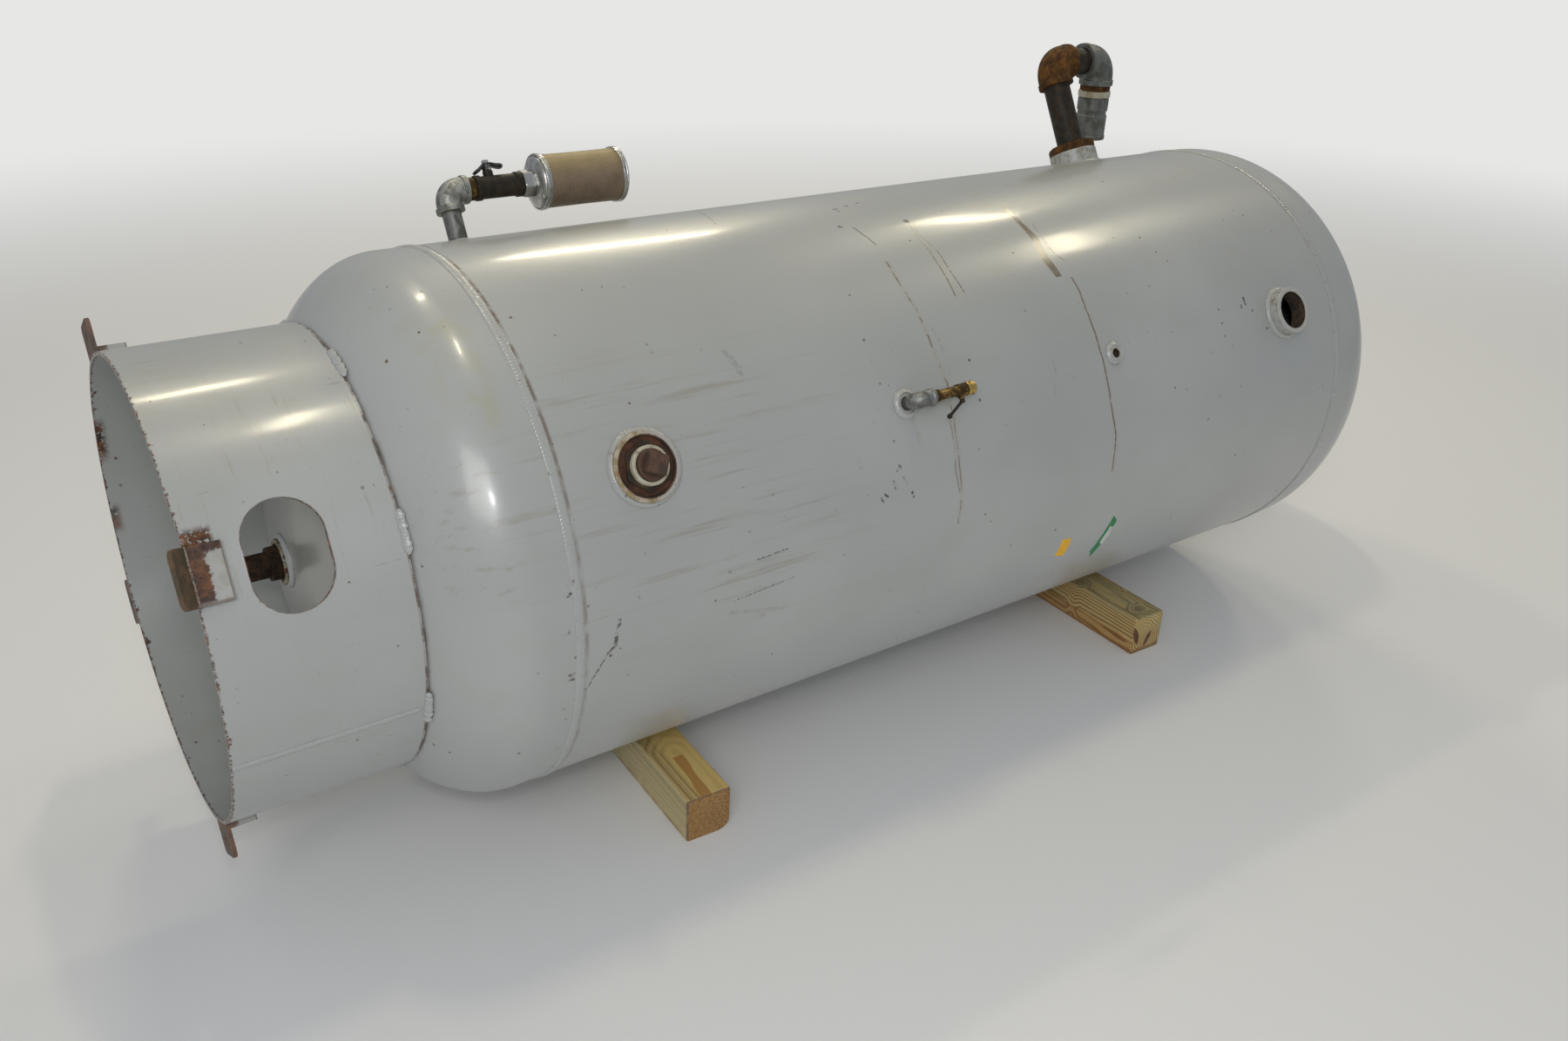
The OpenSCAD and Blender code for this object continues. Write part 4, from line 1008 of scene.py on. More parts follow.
# vessel: smooth heads, beads on the seams, and short stitches between the skirt's cut end and the low head
def makeVessel():
    vessel = dict(steps=288, dishSteps=56, drainHole=38.2, girthSteps=2800, girthHalf=7.68, girthHeight=1.92,
                  girthPitch=6.0, girthWaver=0.07, seamEnd=17.0, seamStep=1.6, seamPitch=5.5, lift=0.1,
                  root=2.0)
    stitch = dict(count=8, first=-17.0, half=5.2, steps=60, aside=2.6, above=0.4, wide=(3.6, -5.4),
                  up=(0.84, 0.54), height=3.2, root=3.0, pitch=8.0, waver=0.22, taper=11.0, seed=20)
    inner, flangeEnd = tank["radius"] - tank["plate"], tank["flange"] - 3
    start = refined(np.array([[tank["radius"], 0.0], [tank["radius"], flangeEnd]]), 12.0, closed=False)
    for node, place, hole in (("head_bottom", endFrame, vessel["drainHole"]), ("head_top", topFrame, 0.0)):
        outside = dishCurve(tank["radius"], tank["dish"], hole, vessel["dishSteps"])
        inside = dishCurve(inner, tank["dish"] - tank["plate"], hole, vessel["dishSteps"])[::-1]
        head = turned(np.vstack([start, outside, inside, [[inner, 0.0]]]), vessel["steps"])
        addPiece(dashed(node, "dish"), place, [head], headPaint, node)
    angle = np.linspace(0, 2 * math.pi, vessel["girthSteps"], endpoint=False)
    out = np.stack([0 * angle, -np.sin(angle), np.cos(angle)], axis=-1)
    side = np.tile([vessel["girthHalf"], 0, 0], (len(angle), 1))
    for node, x, seed in (("girth_weld_bottom", 0.0, 4), ("girth_weld_top", tank["length"], 5)):
        middle = out * (tank["radius"] + vessel["lift"]) + [x, 0, 0]
        band = bead(middle, side, out, vessel["girthHeight"], middle - out * vessel["root"],
                    vessel["girthPitch"], True, seed, waver=vessel["girthWaver"])
        addWeld(dashed(node, "bead"), node, tankFrame, [band])
    # the long seams: angle, radius, ends, half width, height and seed
    seams = (("shell_long_seam", -74.0, tank["radius"], vessel["seamEnd"], tank["length"] - vessel["seamEnd"],
              6.0, 1.6, 6),
             ("skirt_seam_weld", 107.0, tank["skirtRadius"], 1.0 - tank["skirtReach"], -skirtEnd - 9.0,
              5.5, 1.92, 7))
    for node, degrees, radius, low, high, half, height, seed in seams:
        along = np.linspace(low, high, int((high - low) / vessel["seamStep"]))
        middle = np.stack([along, 0 * along, 0 * along], axis=-1)
        side, up = np.tile([0, half, 0], (len(along), 1)), np.tile([0, 0, 1.0], (len(along), 1))
        seam = bead(middle, side, up, height, middle - up * vessel["root"], vessel["seamPitch"], False, seed)
        place = portFrame(0, degrees, radius - tank["radius"] + vessel["lift"])
        addWeld(dashed(node, "bead"), node, place, [seam])
    stitches = []
    for i in range(stitch["count"]):
        sweep = np.linspace(-stitch["half"], stitch["half"], stitch["steps"])
        out = around(np.radians(stitch["first"] - 360.0 / stitch["count"] * i + sweep))
        middle = out * (tank["skirtRadius"] + stitch["aside"]) + [0, 0, skirtEnd + stitch["above"]]
        side, up = (out * far + np.array([0, 0, high]) for far, high in (stitch["wide"], stitch["up"]))
        stitches.append(bead(middle, side, up, stitch["height"], middle - up * stitch["root"],
                             stitch["pitch"], False, stitch["seed"] + i, stitch["waver"], stitch["taper"]))
    addWeld("skirt-stitch-beads", "skirt_stitch_welds", endFrame, stitches)


makeVessel()
giveMaterial(shellPaint, "shell")
giveMaterial(skirtPaint, "base_skirt")
giveMaterial(clipRust, "foot_clip_front")
giveMaterial(plainClip, "foot_clip_lower", "foot_clip_back", "foot_clip_top")
print("vessel made")


# ports: a ripple fillet round each coupling, and couplings with worn edges, the open ones threaded
def makePorts():
    low, gap = tank["portLow"], 0.1
    # port, outside, bore, height over the shell, leg of the fillet, pitch of the thread
    couplings = (("plug", 108.0, 89.3, plug["rim"], 7.0, None), ("cock", 36.0, 21.7, 4.0, 8.0, None),
                 ("gauge", 28.6, 16.0, 6.0, 8.0, 1.81), ("outlet", 96.0, 75.0, 25.0, 7.0, 3.175),
                 ("inlet", 44.5, 33.8, 9.0, 7.0, None), ("riser", 108.0, 89.3, 34.0, 7.0, None))
    welds = [standing(filletRound(outer / 2 + gap, leg - 0.4, 30 + i), portFrame(*ports[port]))
             for i, (port, outer, bore, high, leg, pitch) in enumerate(couplings)]
    # the fillet round the drain coupling, where the head's crown is nearly flat
    out = around(np.linspace(0, 2 * math.pi, 240, endpoint=False))
    toe, top = out * 44.6 + [0, 0, crownAt(44.6)], out * 38.1 + [0, 0, crownAt(38.1) + 6.6]
    root = out * 37.0 + [0, 0, crownAt(38) - 1.5]
    weld = bead((toe + top) / 2, (toe - top) / 2, out * 0.7 + np.array([0, 0, 0.7]), 1.3, root, 4.5, True, 40)
    addWeld("port-fillets", "port_welds", tankFrame, welds + [standing(weld, endFrame)])
    for port, outer, bore, high, leg, pitch in couplings:
        node, wall = port + "_coupling", bore / 2
        finish = plugRim if port == "plug" else portPaint(dashed(node, "paint"), ports[port], bore, high)
        thread = screwThread(wall, pitch, 0.5 * pitch, low + 1, high - 1.5) if pitch else None
        corners = [(wall, low), (outer / 2, low), (outer / 2, high), (wall + 1.2, high), (wall, high - 1.2)]
        body = lathe(corners, [0.6, 0.6, 1.6, 0.5, 0.5], 120, pitch / 7 if pitch else None, shift=thread)
        addPiece(dashed(node, "ring"), portFrame(*ports[port]), [body], finish, node)
    makeDrain(crown + 10.0)


# the drain sits on the axis, inside the skirt: coupling, hex bushing and a threaded nipple
def makeDrain(face):
    drain = dict(across=54.0, hexHeight=16, nipple=74, thread=50)
    body = ring(76, 60.7, crown - 14.35, face, 1.4)
    addPiece("drain-coupling-ring", endFrame, [body], primer, "drain_coupling")
    top, neck = face + drain["hexHeight"], ring(60.3, 42.6, face - 14, face, 0.8)
    collar = lathe([(21.3, face), (27.6, face), (29.4, face + 2), (29.4, top - 2), (27.6, top), (21.3, top)],
                   0.6, limit=flats(6, drain["across"]))
    addPiece("drain-bushing-hex", endFrame, [collar, neck], drainRust, "drain_bushing")
    end = face + drain["nipple"]
    thread = screwThread(21.1, 2.2, -0.9, face + drain["thread"], end)
    pipe = lathe([(17.6, face), (21.1, face), (21.1, end), (17.6, end)], 0.7, 96, 0.7, shift=thread)
    addPiece("drain-nipple-pipe", endFrame, [pipe], drainRust, "drain_nipple")


makePorts()
print("ports made")


# plugged port: outer bushing with its low hexagon, inner bushing with a raised lip, and the square-head plug
def makePlug():
    place = portFrame(*ports["plug"])
    outer = ring(88.9, 60.7, tank["portLow"] + 6, plug["face"], 1.0, 120)
    addPiece("plug-outer-bushing", place, [outer], plugRust, "plug_outer_bushing")
    lip = lathe([(24.35, -0.35), (30.1, -0.35), (30.1, plug["lip"]), (24.35, plug["lip"])], 1.6, 120)
    addPiece("plug-inner-bushing", place, [lip], lipPrimer, "plug_inner_bushing")
    low = plug["face"] - 0.5
    hexagon = lathe([(30.0, low), (38.4, low), (38.4, low + 4.5), (35.6, low + 6.5), (30.0, low + 6.5)],
                    [0.3, 0, 1.0, 1.0, 0.3], 144, limit=flats(6, plug["hexagon"], math.radians(20)))
    addPiece("plug-bushing-hexagon", place, [hexagon], hexIron)
    shoulder, head, side = plug["shoulder"], plug["head"], plug["square"] / 2
    body = lathe([(0, 1.65), (24.1, 1.65), (24.1, shoulder - 2), (21.5, shoulder), (0, shoulder)],
                 [0, 0.8, 2, 1.5, 0])
    cap = lathe([(0, shoulder - 4), (side * 1.36, shoulder - 4), (side * 1.36, head - 2), (side * 1.22, head),
                 (0, head)], [0, 0, 1.2, 1.2, 0], 160, limit=flats(4, plug["square"], math.radians(18.5)))
    addPiece("pipe-plug-square", place, [body, cap], plugHead, "pipe_plug")


# drain cock: street elbow, brass body with its hex, bright end piece, and the bent lever
def makeCock():
    cock = dict(height=36.0, reach=31.0, body=27.0, band=30.0, pipe=21.3, bodyD=22.0, bodyEnd=103.0,
                end=120.0, endD=24.0, bore=11.0, stem=91.0, across=20.4)
    x, angle = ports["cock"]
    here, along = portFrame(x, angle, cock["height"]), lineFrame(x, angle, cock["height"])
    reach, body, band, pipe = cock["reach"], cock["body"] / 2, cock["band"] / 2, cock["pipe"] / 2
    bend = body + 1
    total = bendLength(reach, bend)
    corners = [(0, 0), (0, pipe), (reach - bend - 5, pipe), (reach - bend - 4, body), (total - 8, body),
               (total - 6, band), (total, band), (total, 11.0), (total - 3, 10.5), (total - 3, 0)]
    outline = rounded(corners, [0, 0.5, 1, 1.5, 1, 1.2, 1.5, 0.5, 0.3, 0], closed=False)
    elbow = quarterBend(reach, bend, refined(outline, 2.0, closed=False), 64)
    shank = ring(cock["pipe"], 15.3, -cock["height"] - 12, -bend - 4, 0.6, 64)
    addPiece("cock-street-elbow", here, [elbow, shank], cockZinc, "cock_elbow")
    high, half, bore, hexagon = cock["bodyEnd"], cock["bodyD"] / 2, cock["bore"] / 2, flats(6, cock["across"])

    def hexBand(radius, height, turn):                # flats only on the band by the elbow
        return np.where(height < reach + 12, np.minimum(radius, hexagon(turn)) - radius, 0.0 * turn)
    corners = [(bore, reach - 12), (10.4, reach - 12), (10.4, reach), (half, reach + 0.5), (half, reach + 11),
               (half - 2.2, reach + 13), (half - 2.2, high - 22), (half, high - 19), (half, high - 2),
               (half - 2, high), (bore, high)]
    brass = standing(lathe(corners, 0.8, 96, 3.0, shift=hexBand), along)
    # the stem points down the tank's side
    turn, place = portFrame(x + cock["stem"], angle, cock["height"])
    stem = (turn @ np.array([[1, 0, 0], [0, 0, -1], [0, 1, 0]]), place)
    boss = standing(ring(11.0, 6.0, half - 3, half + 3, 0.7, 48), stem)
    addPiece("cock-brass-body", tankFrame, [brass, boss], brassDark, "cock_body")
    end, wide = cock["end"], cock["endD"] / 2
    bright = lathe([(5.5, high), (wide, high), (wide, high + 6), (11.2, high + 8), (11.2, end - 7),
                    (wide, end - 5), (wide, end - 1), (11, end), (6.5, end), (5.5, end - 1.5)], 0.7)
    addPiece("cock-bright-end", along, [bright], brassBright, "cock_end")
    makeLever(stem, half + 3.3)


# the lever: a nut on the stem and a rod that leaves it at a slant, with a ball for its tip
def makeLever(stem, low):
    lever = dict(out=18.0, tilt=60.0, length=40.0, rod=2.5, tip=4.5)
    out, length, rod, tip = lever["out"], lever["length"], lever["rod"], lever["tip"]
    corners = [(0, low), (4.5, low), (4.5, out + 2), (3.6, out + 4), (0, out + 4)]
    nut = lathe(corners, [0, 0.6, 0.8, 0.8, 0], 48)
    share = np.linspace(0, math.pi, 12)
    ball = np.stack([tip * np.sin(share), length - tip * np.cos(share)], axis=-1)[2:]
    profile = np.vstack([[[0, 0], [rod, 0.01], [rod, length - 8], [rod * 1.15, length - 5]], ball])
    a = -math.radians(lever["tilt"])
    slant = np.array([[math.cos(a), 0, math.sin(a)], [0, 1, 0], [-math.sin(a), 0, math.cos(a)]])
    rodPlace = (stem[0] @ slant, stem[1] + stem[0] @ np.array([0, 0, out]))
    shapes = [standing(nut, stem), standing(turned(refined(profile, 3.0, closed=False), 32), rodPlace)]
    addPiece("cock-lever-rod", tankFrame, shapes, valveIron, "cock_lever", "cock_lever")


# inlet line: pipe nipple, elbow, brass nipple, ball valve with its handle, hub and the intake filter
def makeInlet():
    inlet = dict(height=97.0, reach=38.0, body=44.0, band=50.0, bandLength=9.0, pipe=33.4, gap=14.0,
                 valve=44.0, valveLength=89.0, stem=32.5, hub=44.0, hubLength=20.0, across=37.4)
    x, angle = ports["inlet"]
    height, reach, pipe, r = inlet["height"], inlet["reach"], inlet["pipe"], inlet["valve"] / 2
    along = lineFrame(x, angle, height)
    nipple = ring(pipe, 26.6, -6, height - reach + 14, 0.6)
    addPiece("inlet-pipe-nipple", portFrame(x, angle), [nipple], nippleZinc, "inlet_nipple")
    elbow = castElbow(reach, inlet["body"], inlet["band"], inlet["bandLength"], pipe + 0.6, 72)
    addPiece("inlet-elbow-cast", portFrame(x, angle, height), [elbow], zincCast, "inlet_elbow")
    start = reach + inlet["gap"]
    collar = lathe([(16.0, reach + 1), (19.2, reach + 1), (20.4, reach + 2.5), (20.4, start - 2.5),
                    (19.2, start - 1), (16.0, start - 1)], 0.5, limit=flats(6, inlet["across"]))
    addPiece("inlet-brass-hex", along, [ring(pipe, 25.0, reach - 14, start, 0.5), collar], brassDark,
             "inlet_brass_nipple")
    end = start + inlet["valveLength"]
    corners = [(12.5, start), (r - 1.5, start), (r, start + 1.5), (r, start + 11), (r - 2.2, start + 13),
               (r - 2.2, end - 13), (r, end - 11), (r, end - 1.5), (r - 1.5, end), (12.5, end)]
    body = standing(lathe(corners, 1.2, 120, 4.0), along)
    stem = portFrame(x + start + inlet["stem"], angle, height)
    boss = standing(ring(18.0, 10.0, r - 5, r + 6, 1.0, 72), stem)
    addPiece("ball-valve-body", tankFrame, [body, boss], valveIron, "inlet_valve_body")
    makeHandle(stem, r + 6.3, r + 20.0)
    last = end + inlet["hubLength"] - 0.5
    hub = lathe([(12.5, end), (22.6, end), (24.6, end + 1.8), (24.6, last), (12.5, last)], 0.6,
                limit=flats(6, inlet["hub"]))
    addPiece("filter-hub-hex", along, [hub], brightZinc, "filter_hub")
    makeFilter(along, end + inlet["hubLength"])


# the handle: a hub and nut on the valve's stem, and two stamped wings, the second bent further down. Each
# wing is a dished plate whose thickness falls to nothing along its rounded rim
def makeHandle(stem, seat, top):
    handle = dict(wing=10.0, plate=2.8, reach=27.0, root=4.0, dish=-1.2, bends=(14.0, 34.0), rows=34,
                  columns=25)
    reach, half = handle["reach"], handle["wing"]
    shapes = [lathe([(0, seat), (8, seat), (8, top - 1), (7, top), (0, top)], [0, 0.6, 0.8, 0.8, 0], 48)]
    along, across = np.linspace(0, 1, handle["rows"]), np.linspace(-1, 1, handle["columns"])
    along, across = np.meshgrid(along, across, indexing="ij")
    width = half * (0.86 + 0.14 * np.cos(2 * math.pi * (along - 0.75)))
    tipRound = np.sqrt(np.clip(1 - np.clip((along - 0.78) / 0.22, 0, 1) ** 2, 0, 1))
    y = across * width * np.maximum(tipRound, 0.02)
    rim = np.minimum(1 - np.abs(across), np.minimum(along, 1 - along) * reach / half)
    thick = handle["plate"] * np.sqrt(np.clip(1 - (1 - np.clip(rim / 0.22, 0, 1)) ** 2, 0, 1))
    dish = handle["dish"] * (1 - across ** 2) * np.sin(np.pi * along)
    for turn, bend in zip((0.0, math.pi), np.radians(handle["bends"])):
        sides = []
        for level in (dish + thick, dish - thick):
            x = handle["root"] + along * reach * math.cos(bend) + level * math.sin(bend)
            z = top - 1.5 - along * reach * math.sin(bend) + level * math.cos(bend)
            sides.append(np.stack([x * math.cos(turn) - y * math.sin(turn),
                                   x * math.sin(turn) + y * math.cos(turn), z], axis=-1))
        shapes += sheet(*sides)
    addPiece("valve-handle-wings", stem, shapes, blackSteel, "inlet_valve_handle",
             "inlet_handle", 60)
    nut = lathe([(0, top), (5.9, top), (6.9, top + 1.2), (6.9, top + 4.2), (5.8, top + 5.4), (3.2, top + 5.4),
                 (3.0, top + 7), (0, top + 7)], [0, 0.3, 0.4, 0.4, 0.4, 0.3, 0.6, 0], limit=flats(6, 12.0))
    addPiece("valve-handle-nut", stem, [nut], brightZinc, body="inlet_handle")


# the filter: a domed cap with a rolled rim, the wire wall, an end ring, and a clamp screw low on the cap
def makeFilter(along, low):
    air = dict(outer=50.5, cap=20.0, length=174.0, ringLength=10.0, mesh=47.8, sag=-0.9, hub=20.0, steps=144,
               screwOut=(0.0, -0.903, -0.429), screwAway=42.0)
    r, start, end, steps = air["outer"], low + air["cap"], low + air["length"], air["steps"]
    share = np.linspace(0, math.pi / 2, 14)
    wide = air["hub"] + (r - 4.5 - air["hub"]) * np.sin(share)
    dome = np.stack([wide, low + 12 * (1 - np.cos(share))], axis=-1)
    rim = rounded([(r - 4.3, low + 12), (r - 3.2, low + 9.6), (r - 0.6, low + 10.4), (r, low + 13),
                   (r - 0.9, low + 15.4), (r - 0.9, start), (r - 3.4, start)],
                  [0, 0.8, 1.2, 1.4, 1.2, 0.5, 0], closed=False)
    cap = turned(np.vstack([[[12.5, low]], dome, rim, [[12.5, start]]]), steps)
    addPiece("filter-cap-dome", along, [cap], brightZinc, "filter_cap")
    height = np.linspace(start, end - air["ringLength"], 40)
    sag = air["sag"] * np.sin(np.pi * (height - start) / (height[-1] - start)) ** 0.5
    wall = np.stack([air["mesh"] + sag, height], axis=-1)
    element = turned(np.vstack([wall, [[38.0, height[-1]], [38.0, start]]]), steps)
    wire = wovenWire("wovenWire", origin + along[1], ports["inlet"][1])
    addPiece("filter-element-wire", along, [element], wire, "filter_element")
    lid = lathe([(0, end - 10), (r - 0.6, end - 10), (r, end - 8.4), (r - 0.8, end - 6.6),
                 (r - 0.8, end - 3.6), (r, end - 2.2), (r, end - 0.8), (r - 0.8, end), (r - 2.6, end),
                 (r - 2.6, end - 7), (0, end - 8)],
                [0, 0.8, 1, 0.8, 0.8, 0.8, 0.6, 0.5, 0.5, 1, 0], steps)
    addPiece("filter-end-ring-rim", along, [lid], brightZinc, "filter_end_ring")
    corners = [(0, -8), (2.6, -8), (2.6, 0), (5.6, 0), (5.6, 3), (4.2, 4.2), (3, 4.2), (2.6, 2), (0, 2)]
    screw = lathe(corners, [0, 0.3, 0, 0.5, 0.9, 0.6, 0.3, 0.3, 0], 48)
    turn, place = along
    out, down = turn.T @ np.array(air["screwOut"]), np.array([0, 0, -1.0])
    sideways = np.stack([out, np.cross(down, out), down], axis=1)
    screwPlace = (turn @ sideways, place + turn @ (out * air["screwAway"] + np.array([0, 0, low + 7.0])))
    addPiece("filter-clamp-screw", screwPlace, [screw], brightZinc)


# riser: bushing, pipe, elbows, level nipple and the relief valve's barrel
def makeRiser():
    riser = dict(coupling=34.0, hexHeight=18.0, across=95.0, pipe=60.3, wall=3.9, height=249.0, reach=57.0,
                 body=76.0, band=81.0, bandLength=12.0, gap=50.0, barrel=74.0, barrelLength=99.0, collar=28.0,
                 lip=15.0)
    x, angle = ports["riser"]
    height, reach, pipe, low = riser["height"], riser["reach"], riser["pipe"], riser["coupling"]
    base, top = portFrame(x, angle), low + riser["hexHeight"]
    bore, inner = pipe / 2 + 0.2, pipe - 2 * riser["wall"]
    collar = lathe([(bore, low), (52.0, low), (54.3, low + 3), (54.3, top - 3), (50.5, top), (bore, top)],
                   1.0, 144, limit=flats(6, riser["across"]))
    neck = ring(88.9, bore * 2, low - 24, low, 0.8)
    addPiece("riser-bushing-hex", base, [collar, neck], riserRust, "riser_bushing")
    tube = ring(pipe, inner, low - 16, height - reach + 18, 0.8)
    addPiece("riser-pipe-tube", base, [tube], darkIron, "riser_pipe")
    elbow = castElbow(reach, riser["body"], riser["band"], riser["bandLength"], pipe + 0.6, 96)
    addPiece("riser-elbow-cast", portFrame(x, angle, height), [elbow], riserRust, "riser_elbow")
    nipple, along = ring(pipe, inner, reach - 18, reach + riser["gap"] + 18, 0.8), lineFrame(x, angle, height)
    addPiece("cross-nipple-tube", along, [nipple], darkIron, "cross_nipple")
    # the second elbow faces back and down, and what hangs from it is upright
    corner = portFrame(x + 2 * reach + riser["gap"], angle, height)[1]
    upright, mirrored = (np.eye(3), corner), (np.diag([-1.0, -1.0, 1.0]), corner)
    addPiece("drop-elbow-cast", mirrored, [elbow], zincDull, "drop_elbow")
    high = -reach - riser["collar"]
    lip = ring(77.0, inner, high, high + riser["lip"], 2.0, 120)
    addPiece("relief-collar-lip", upright, [lip], lipPrimer, "relief_collar")
    neck = ring(72.0, inner, high + riser["lip"], -reach, 1.6, limit=flats(6, 68.0))
    sleeve = ring(pipe, inner, -reach - 1, -reach + 18, 0.6)
    addPiece("relief-collar-neck", upright, [neck, sleeve], riserRust)
    deep, r = high - riser["barrelLength"], riser["barrel"] / 2
    barrel = lathe([(0, high), (r - 3, high), (r, high - 3), (r, high - 30), (r - 2.5, high - 33),
                    (r - 2.5, high - 40), (r, high - 43), (r, deep + 11), (r + 1.5, deep + 9),
                    (r + 1.5, deep + 1), (r + 0.5, deep), (r - 7, deep), (r - 7, deep + 15), (0, deep + 15)],
                   [0, 2, 2, 1, 1, 1, 1, 0.8, 0.8, 0.6, 0.6, 1, 1, 0], 120)
    addPiece("relief-barrel", upright, [barrel], zincDull, "relief_body")


makePlug()
makeCock()
makeInlet()
makeRiser()
print("fittings made")


# timbers: sawn bars with soft edges that bow a little, the left one waney along a lower corner
def makeTimbers():
    timber = dict(side=89.0, length=745.0, edge=3.5, wane=22.0, right=1157.0, leftYaw=-3.0, rightYaw=-1.5,
                  ends=(0.0, 0.0, 0.6, 2.2), draw=(0.0, 0.955, 0.985, 1.0), inner=6.0, rows=90, slack=0.003,
                  bow=0.001, waneShare=0.98)
    half, side, length = timber["side"] / 2, timber["side"], timber["length"]
    edge, wane = timber["edge"], timber["wane"]
    # knots: place, size and how dark
    knots = ([((-4, -160), 24, 0.0)], [((-2, -338), 10, 1.0), ((-26, -185), 9, 0.5), ((24, -262), 6, 0.0)])
    leftPine = pineWood("pineLeft", 0.0, timber["leftYaw"], (6, 12), knots[0], leftMarks, 6.2, 0.50)
    rightPine = pineWood("pineRight", timber["right"], timber["rightYaw"], (-14, 25), knots[1], rightMarks,
                         6.0, 0.95)
    share = np.linspace(0, math.pi / 2, 7)
    scoop = [half - wane + wane * np.sin(share) * timber["waneShare"],
             wane * (1 - np.cos(share)) * timber["waneShare"]]
    scoop = np.stack(scoop, axis=-1).tolist()
    for node, middle, yaw, foot, finish, seed in (
            ("timber_left", 0.0, timber["leftYaw"], scoop, leftPine, 3),
            ("timber_right", timber["right"], timber["rightYaw"], [(half, 0)], rightPine, 8)):
        corners = [(-half, 0)] + foot + [(half, side), (-half, side)]
        footRadii = [0.0] * len(foot) if len(foot) > 1 else [edge]
        outline = refined(rounded(corners, [edge] + footRadii + [edge] * 2), 4.0)
        # the ends draw in over their last few millimetres, and close
        draw, ends = np.array(timber["draw"]), np.array(timber["ends"])
        places = np.concatenate([ends, np.linspace(timber["inner"], length - timber["inner"], timber["rows"]),
                                 length - ends[::-1]])
        shrink = np.concatenate([draw, np.ones(timber["rows"]), draw[::-1]])
        rng = np.random.default_rng(seed)
        bow = np.zeros(len(places))
        for wave in range(1, 5):
            bow += np.sin(math.pi * wave * places / length + rng.uniform(0, 6.3)) / wave
        centre = np.array([0.0, half])
        shrink = shrink - timber["slack"] + timber["bow"] * bow
        flat = centre + (outline - centre)[None] * shrink[:, None, None]
        x, y = flat[..., 0], np.broadcast_to((places - length / 2)[:, None], flat.shape[:2])
        z = np.where(outline[None, :, 1] < 0.01, 0.0, np.clip(flat[..., 1], 0.0, side))
        cosYaw, sinYaw = math.cos(math.radians(yaw)), math.sin(math.radians(yaw))
        points = np.stack([x * cosYaw - y * sinYaw + middle, x * sinYaw + y * cosYaw, z], axis=-1)
        bar = (points.reshape(-1, 3), gridFaces(len(places), len(outline)))
        addPiece(dashed(node, "bar"), floorFrame, [bar], finish, node, sharp=50)


# tapes: thin pieces that lie on the shell, given by their lift, their colour and four corners as (x, angle)
def makeTapes():
    tapes = (("tape-yellow", 0.25, (0.95, 0.50, 0.012),
              [(1034, 105.5), (1062, 106.2), (1062, 112.4), (1034, 111.2)]),
             ("tape-green", 0.25, (0.012, 0.230, 0.075),
              [(1168, 103), (1185, 105), (1166, 118), (1150, 115)]),
             ("tape-white", 0.55, (0.62, 0.64, 0.60),
              [(1170, 106.2), (1183, 107.4), (1176, 113.4), (1164, 112.2)]))
    under, steps = -0.3, 30
    along, across = np.meshgrid(np.linspace(0, 1, steps), np.linspace(0, 1, steps), indexing="ij")
    a, b = along[..., None], across[..., None]
    inside = np.minimum(np.minimum(along, 1 - along), np.minimum(across, 1 - across)) > 0
    for name, lift, tone, corners in tapes:
        c = np.array(corners, float)
        flat = (1 - a) * ((1 - b) * c[0] + b * c[3]) + a * ((1 - b) * c[1] + b * c[2])
        x, angle = flat[..., 0], np.radians(flat[..., 1])
        sides = []
        for level in (lift + 0.35 * np.sin(9 * along + 4 * across) ** 2, under):
            radius = tank["radius"] + np.where(inside, level, under)
            sides.append(np.stack([x, -radius * np.sin(angle), radius * np.cos(angle)], axis=-1))
        addPiece(name, tankFrame, sheet(*sides), tapeFilm(name + "-film", tone), sharp=60)


makeTimbers()
makeTapes()
print("timbers and tapes made")


# stands an area lamp at a place, aimed at another
def lamp(name, energy, size, place, aim, tone, slim=None):
    data = bpy.data.lights.new(name, "AREA")
    data.energy, data.size, data.color = energy, size, tone
    if slim:
        data.shape, data.size_y = "RECTANGLE", slim
    ahead = np.array(aim, float) - np.array(place, float)
    ahead /= np.linalg.norm(ahead)
    right = np.cross(ahead, [0, 0, 1.0])
    right /= np.linalg.norm(right)
    posed(bpy.data.objects.new(name, data), place, right, np.cross(right, ahead), ahead)


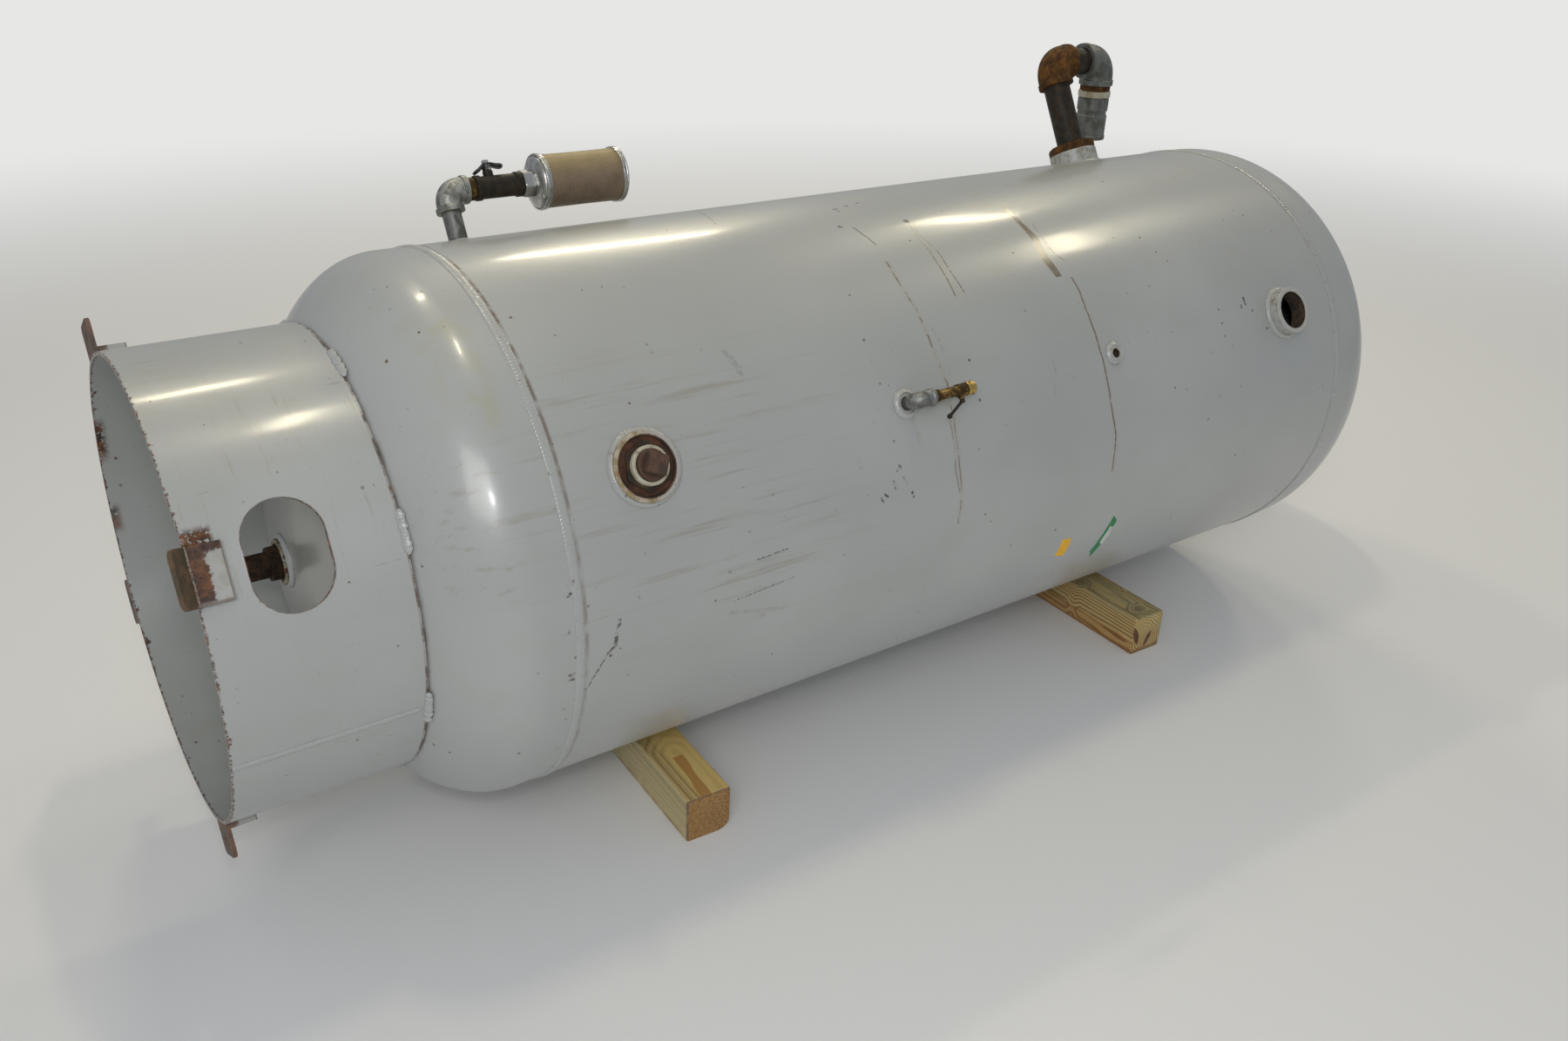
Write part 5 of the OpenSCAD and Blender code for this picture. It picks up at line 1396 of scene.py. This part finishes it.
# light: a soft key, the camera's flash, and warm tubes high up, given by (x, y, length, energy)
def makeLight():
    light = dict(key=(70, 2.2, (-2.6, -3.6, 3.4), (0.4, 0, 0.5), (1.0, 0.985, 0.96)),
                 flash=(5.0, 0.13, (-1.0, -1.92, 1.74), (-0.5, -0.4, 0.5), (1, 1, 1)),
                 tubes=((0.25, 0.09, 0.45, 17), (0.05, 2.3, 0.5, 19), (4.6, 0.2, 0.8, 21),
                        (4.6, 2.4, 0.8, 22), (3.3, 5.4, 1.5, 58)),
                 tubeHeight=4.5, tubeAim=(0.6, 0, 0.5), tubeTone=(1.0, 0.90, 0.64), tubeWidth=0.10)
    lamp("softKey", *light["key"])
    lamp("flash", *light["flash"])
    for i, (x, y, length, energy) in enumerate(light["tubes"]):
        lamp("tube%d" % i, energy, length, (x, y, light["tubeHeight"]), light["tubeAim"],
             light["tubeTone"], light["tubeWidth"])


# floor and world, pale all round
def makeStage():
    stage = dict(floor=(0.80, 0.80, 0.79), backdrop=(0.80, 0.80, 0.79), clear=(2.6, 6.5),
                 fill=(0.88, 0.92, 1.0), fillStrength=0.38, low=-30.0, high=32.0)
    floor = Finish("paleFloor", 0.9, specular=0.1)
    connect(floor.shader.inputs["Base Color"], stage["floor"])
    # far from the tank the floor fades into the pale backdrop, for the camera alone
    far = floor.vector("LENGTH", floor.mapped(floor.coords, (0.8, 1, 1), shift=(-0.4, 0, 0)), output=1)
    share = floor.node("ShaderNodeLightPath", "Is Camera Ray") * spread(far, *stage["clear"])
    glow = floor.node("ShaderNodeEmission", Color=stage["backdrop"], Strength=1.0)
    blend = floor.node("ShaderNodeMixShader", i0=share, i1=floor.shader.outputs[0], i2=glow)
    connect(floor.end.inputs[0], blend)
    low, high = stage["low"], stage["high"]
    mesh = bpy.data.meshes.new("floor")
    mesh.from_pydata([(low, low, 0), (high, low, 0), (high, high, 0), (low, high, 0)], [], [(0, 1, 2, 3)])
    mesh.materials.append(floor.material)
    ground = bpy.data.objects.new("floor", mesh)
    bpy.context.scene.collection.objects.link(ground)

    world = bpy.data.worlds.new("studio")
    bpy.context.scene.world = world
    world.use_nodes = True
    tree = world.node_tree
    tree.nodes.clear()
    path = addNode(tree, "ShaderNodeLightPath").outputs
    seen = strongest(Value(path["Is Camera Ray"]), Value(path["Is Transmission Ray"]))
    pale = addNode(tree, "ShaderNodeBackground", Color=stage["backdrop"], Strength=1.0)
    fill = addNode(tree, "ShaderNodeBackground", Color=stage["fill"], Strength=stage["fillStrength"])
    blend = addNode(tree, "ShaderNodeMixShader", i0=seen, i1=fill.outputs[0], i2=pale.outputs[0])
    addNode(tree, "ShaderNodeOutputWorld", i0=blend.outputs[0])


makeStage()
makeLight()
bpy.context.scene.view_settings.view_transform = "Standard"
print("stage set")
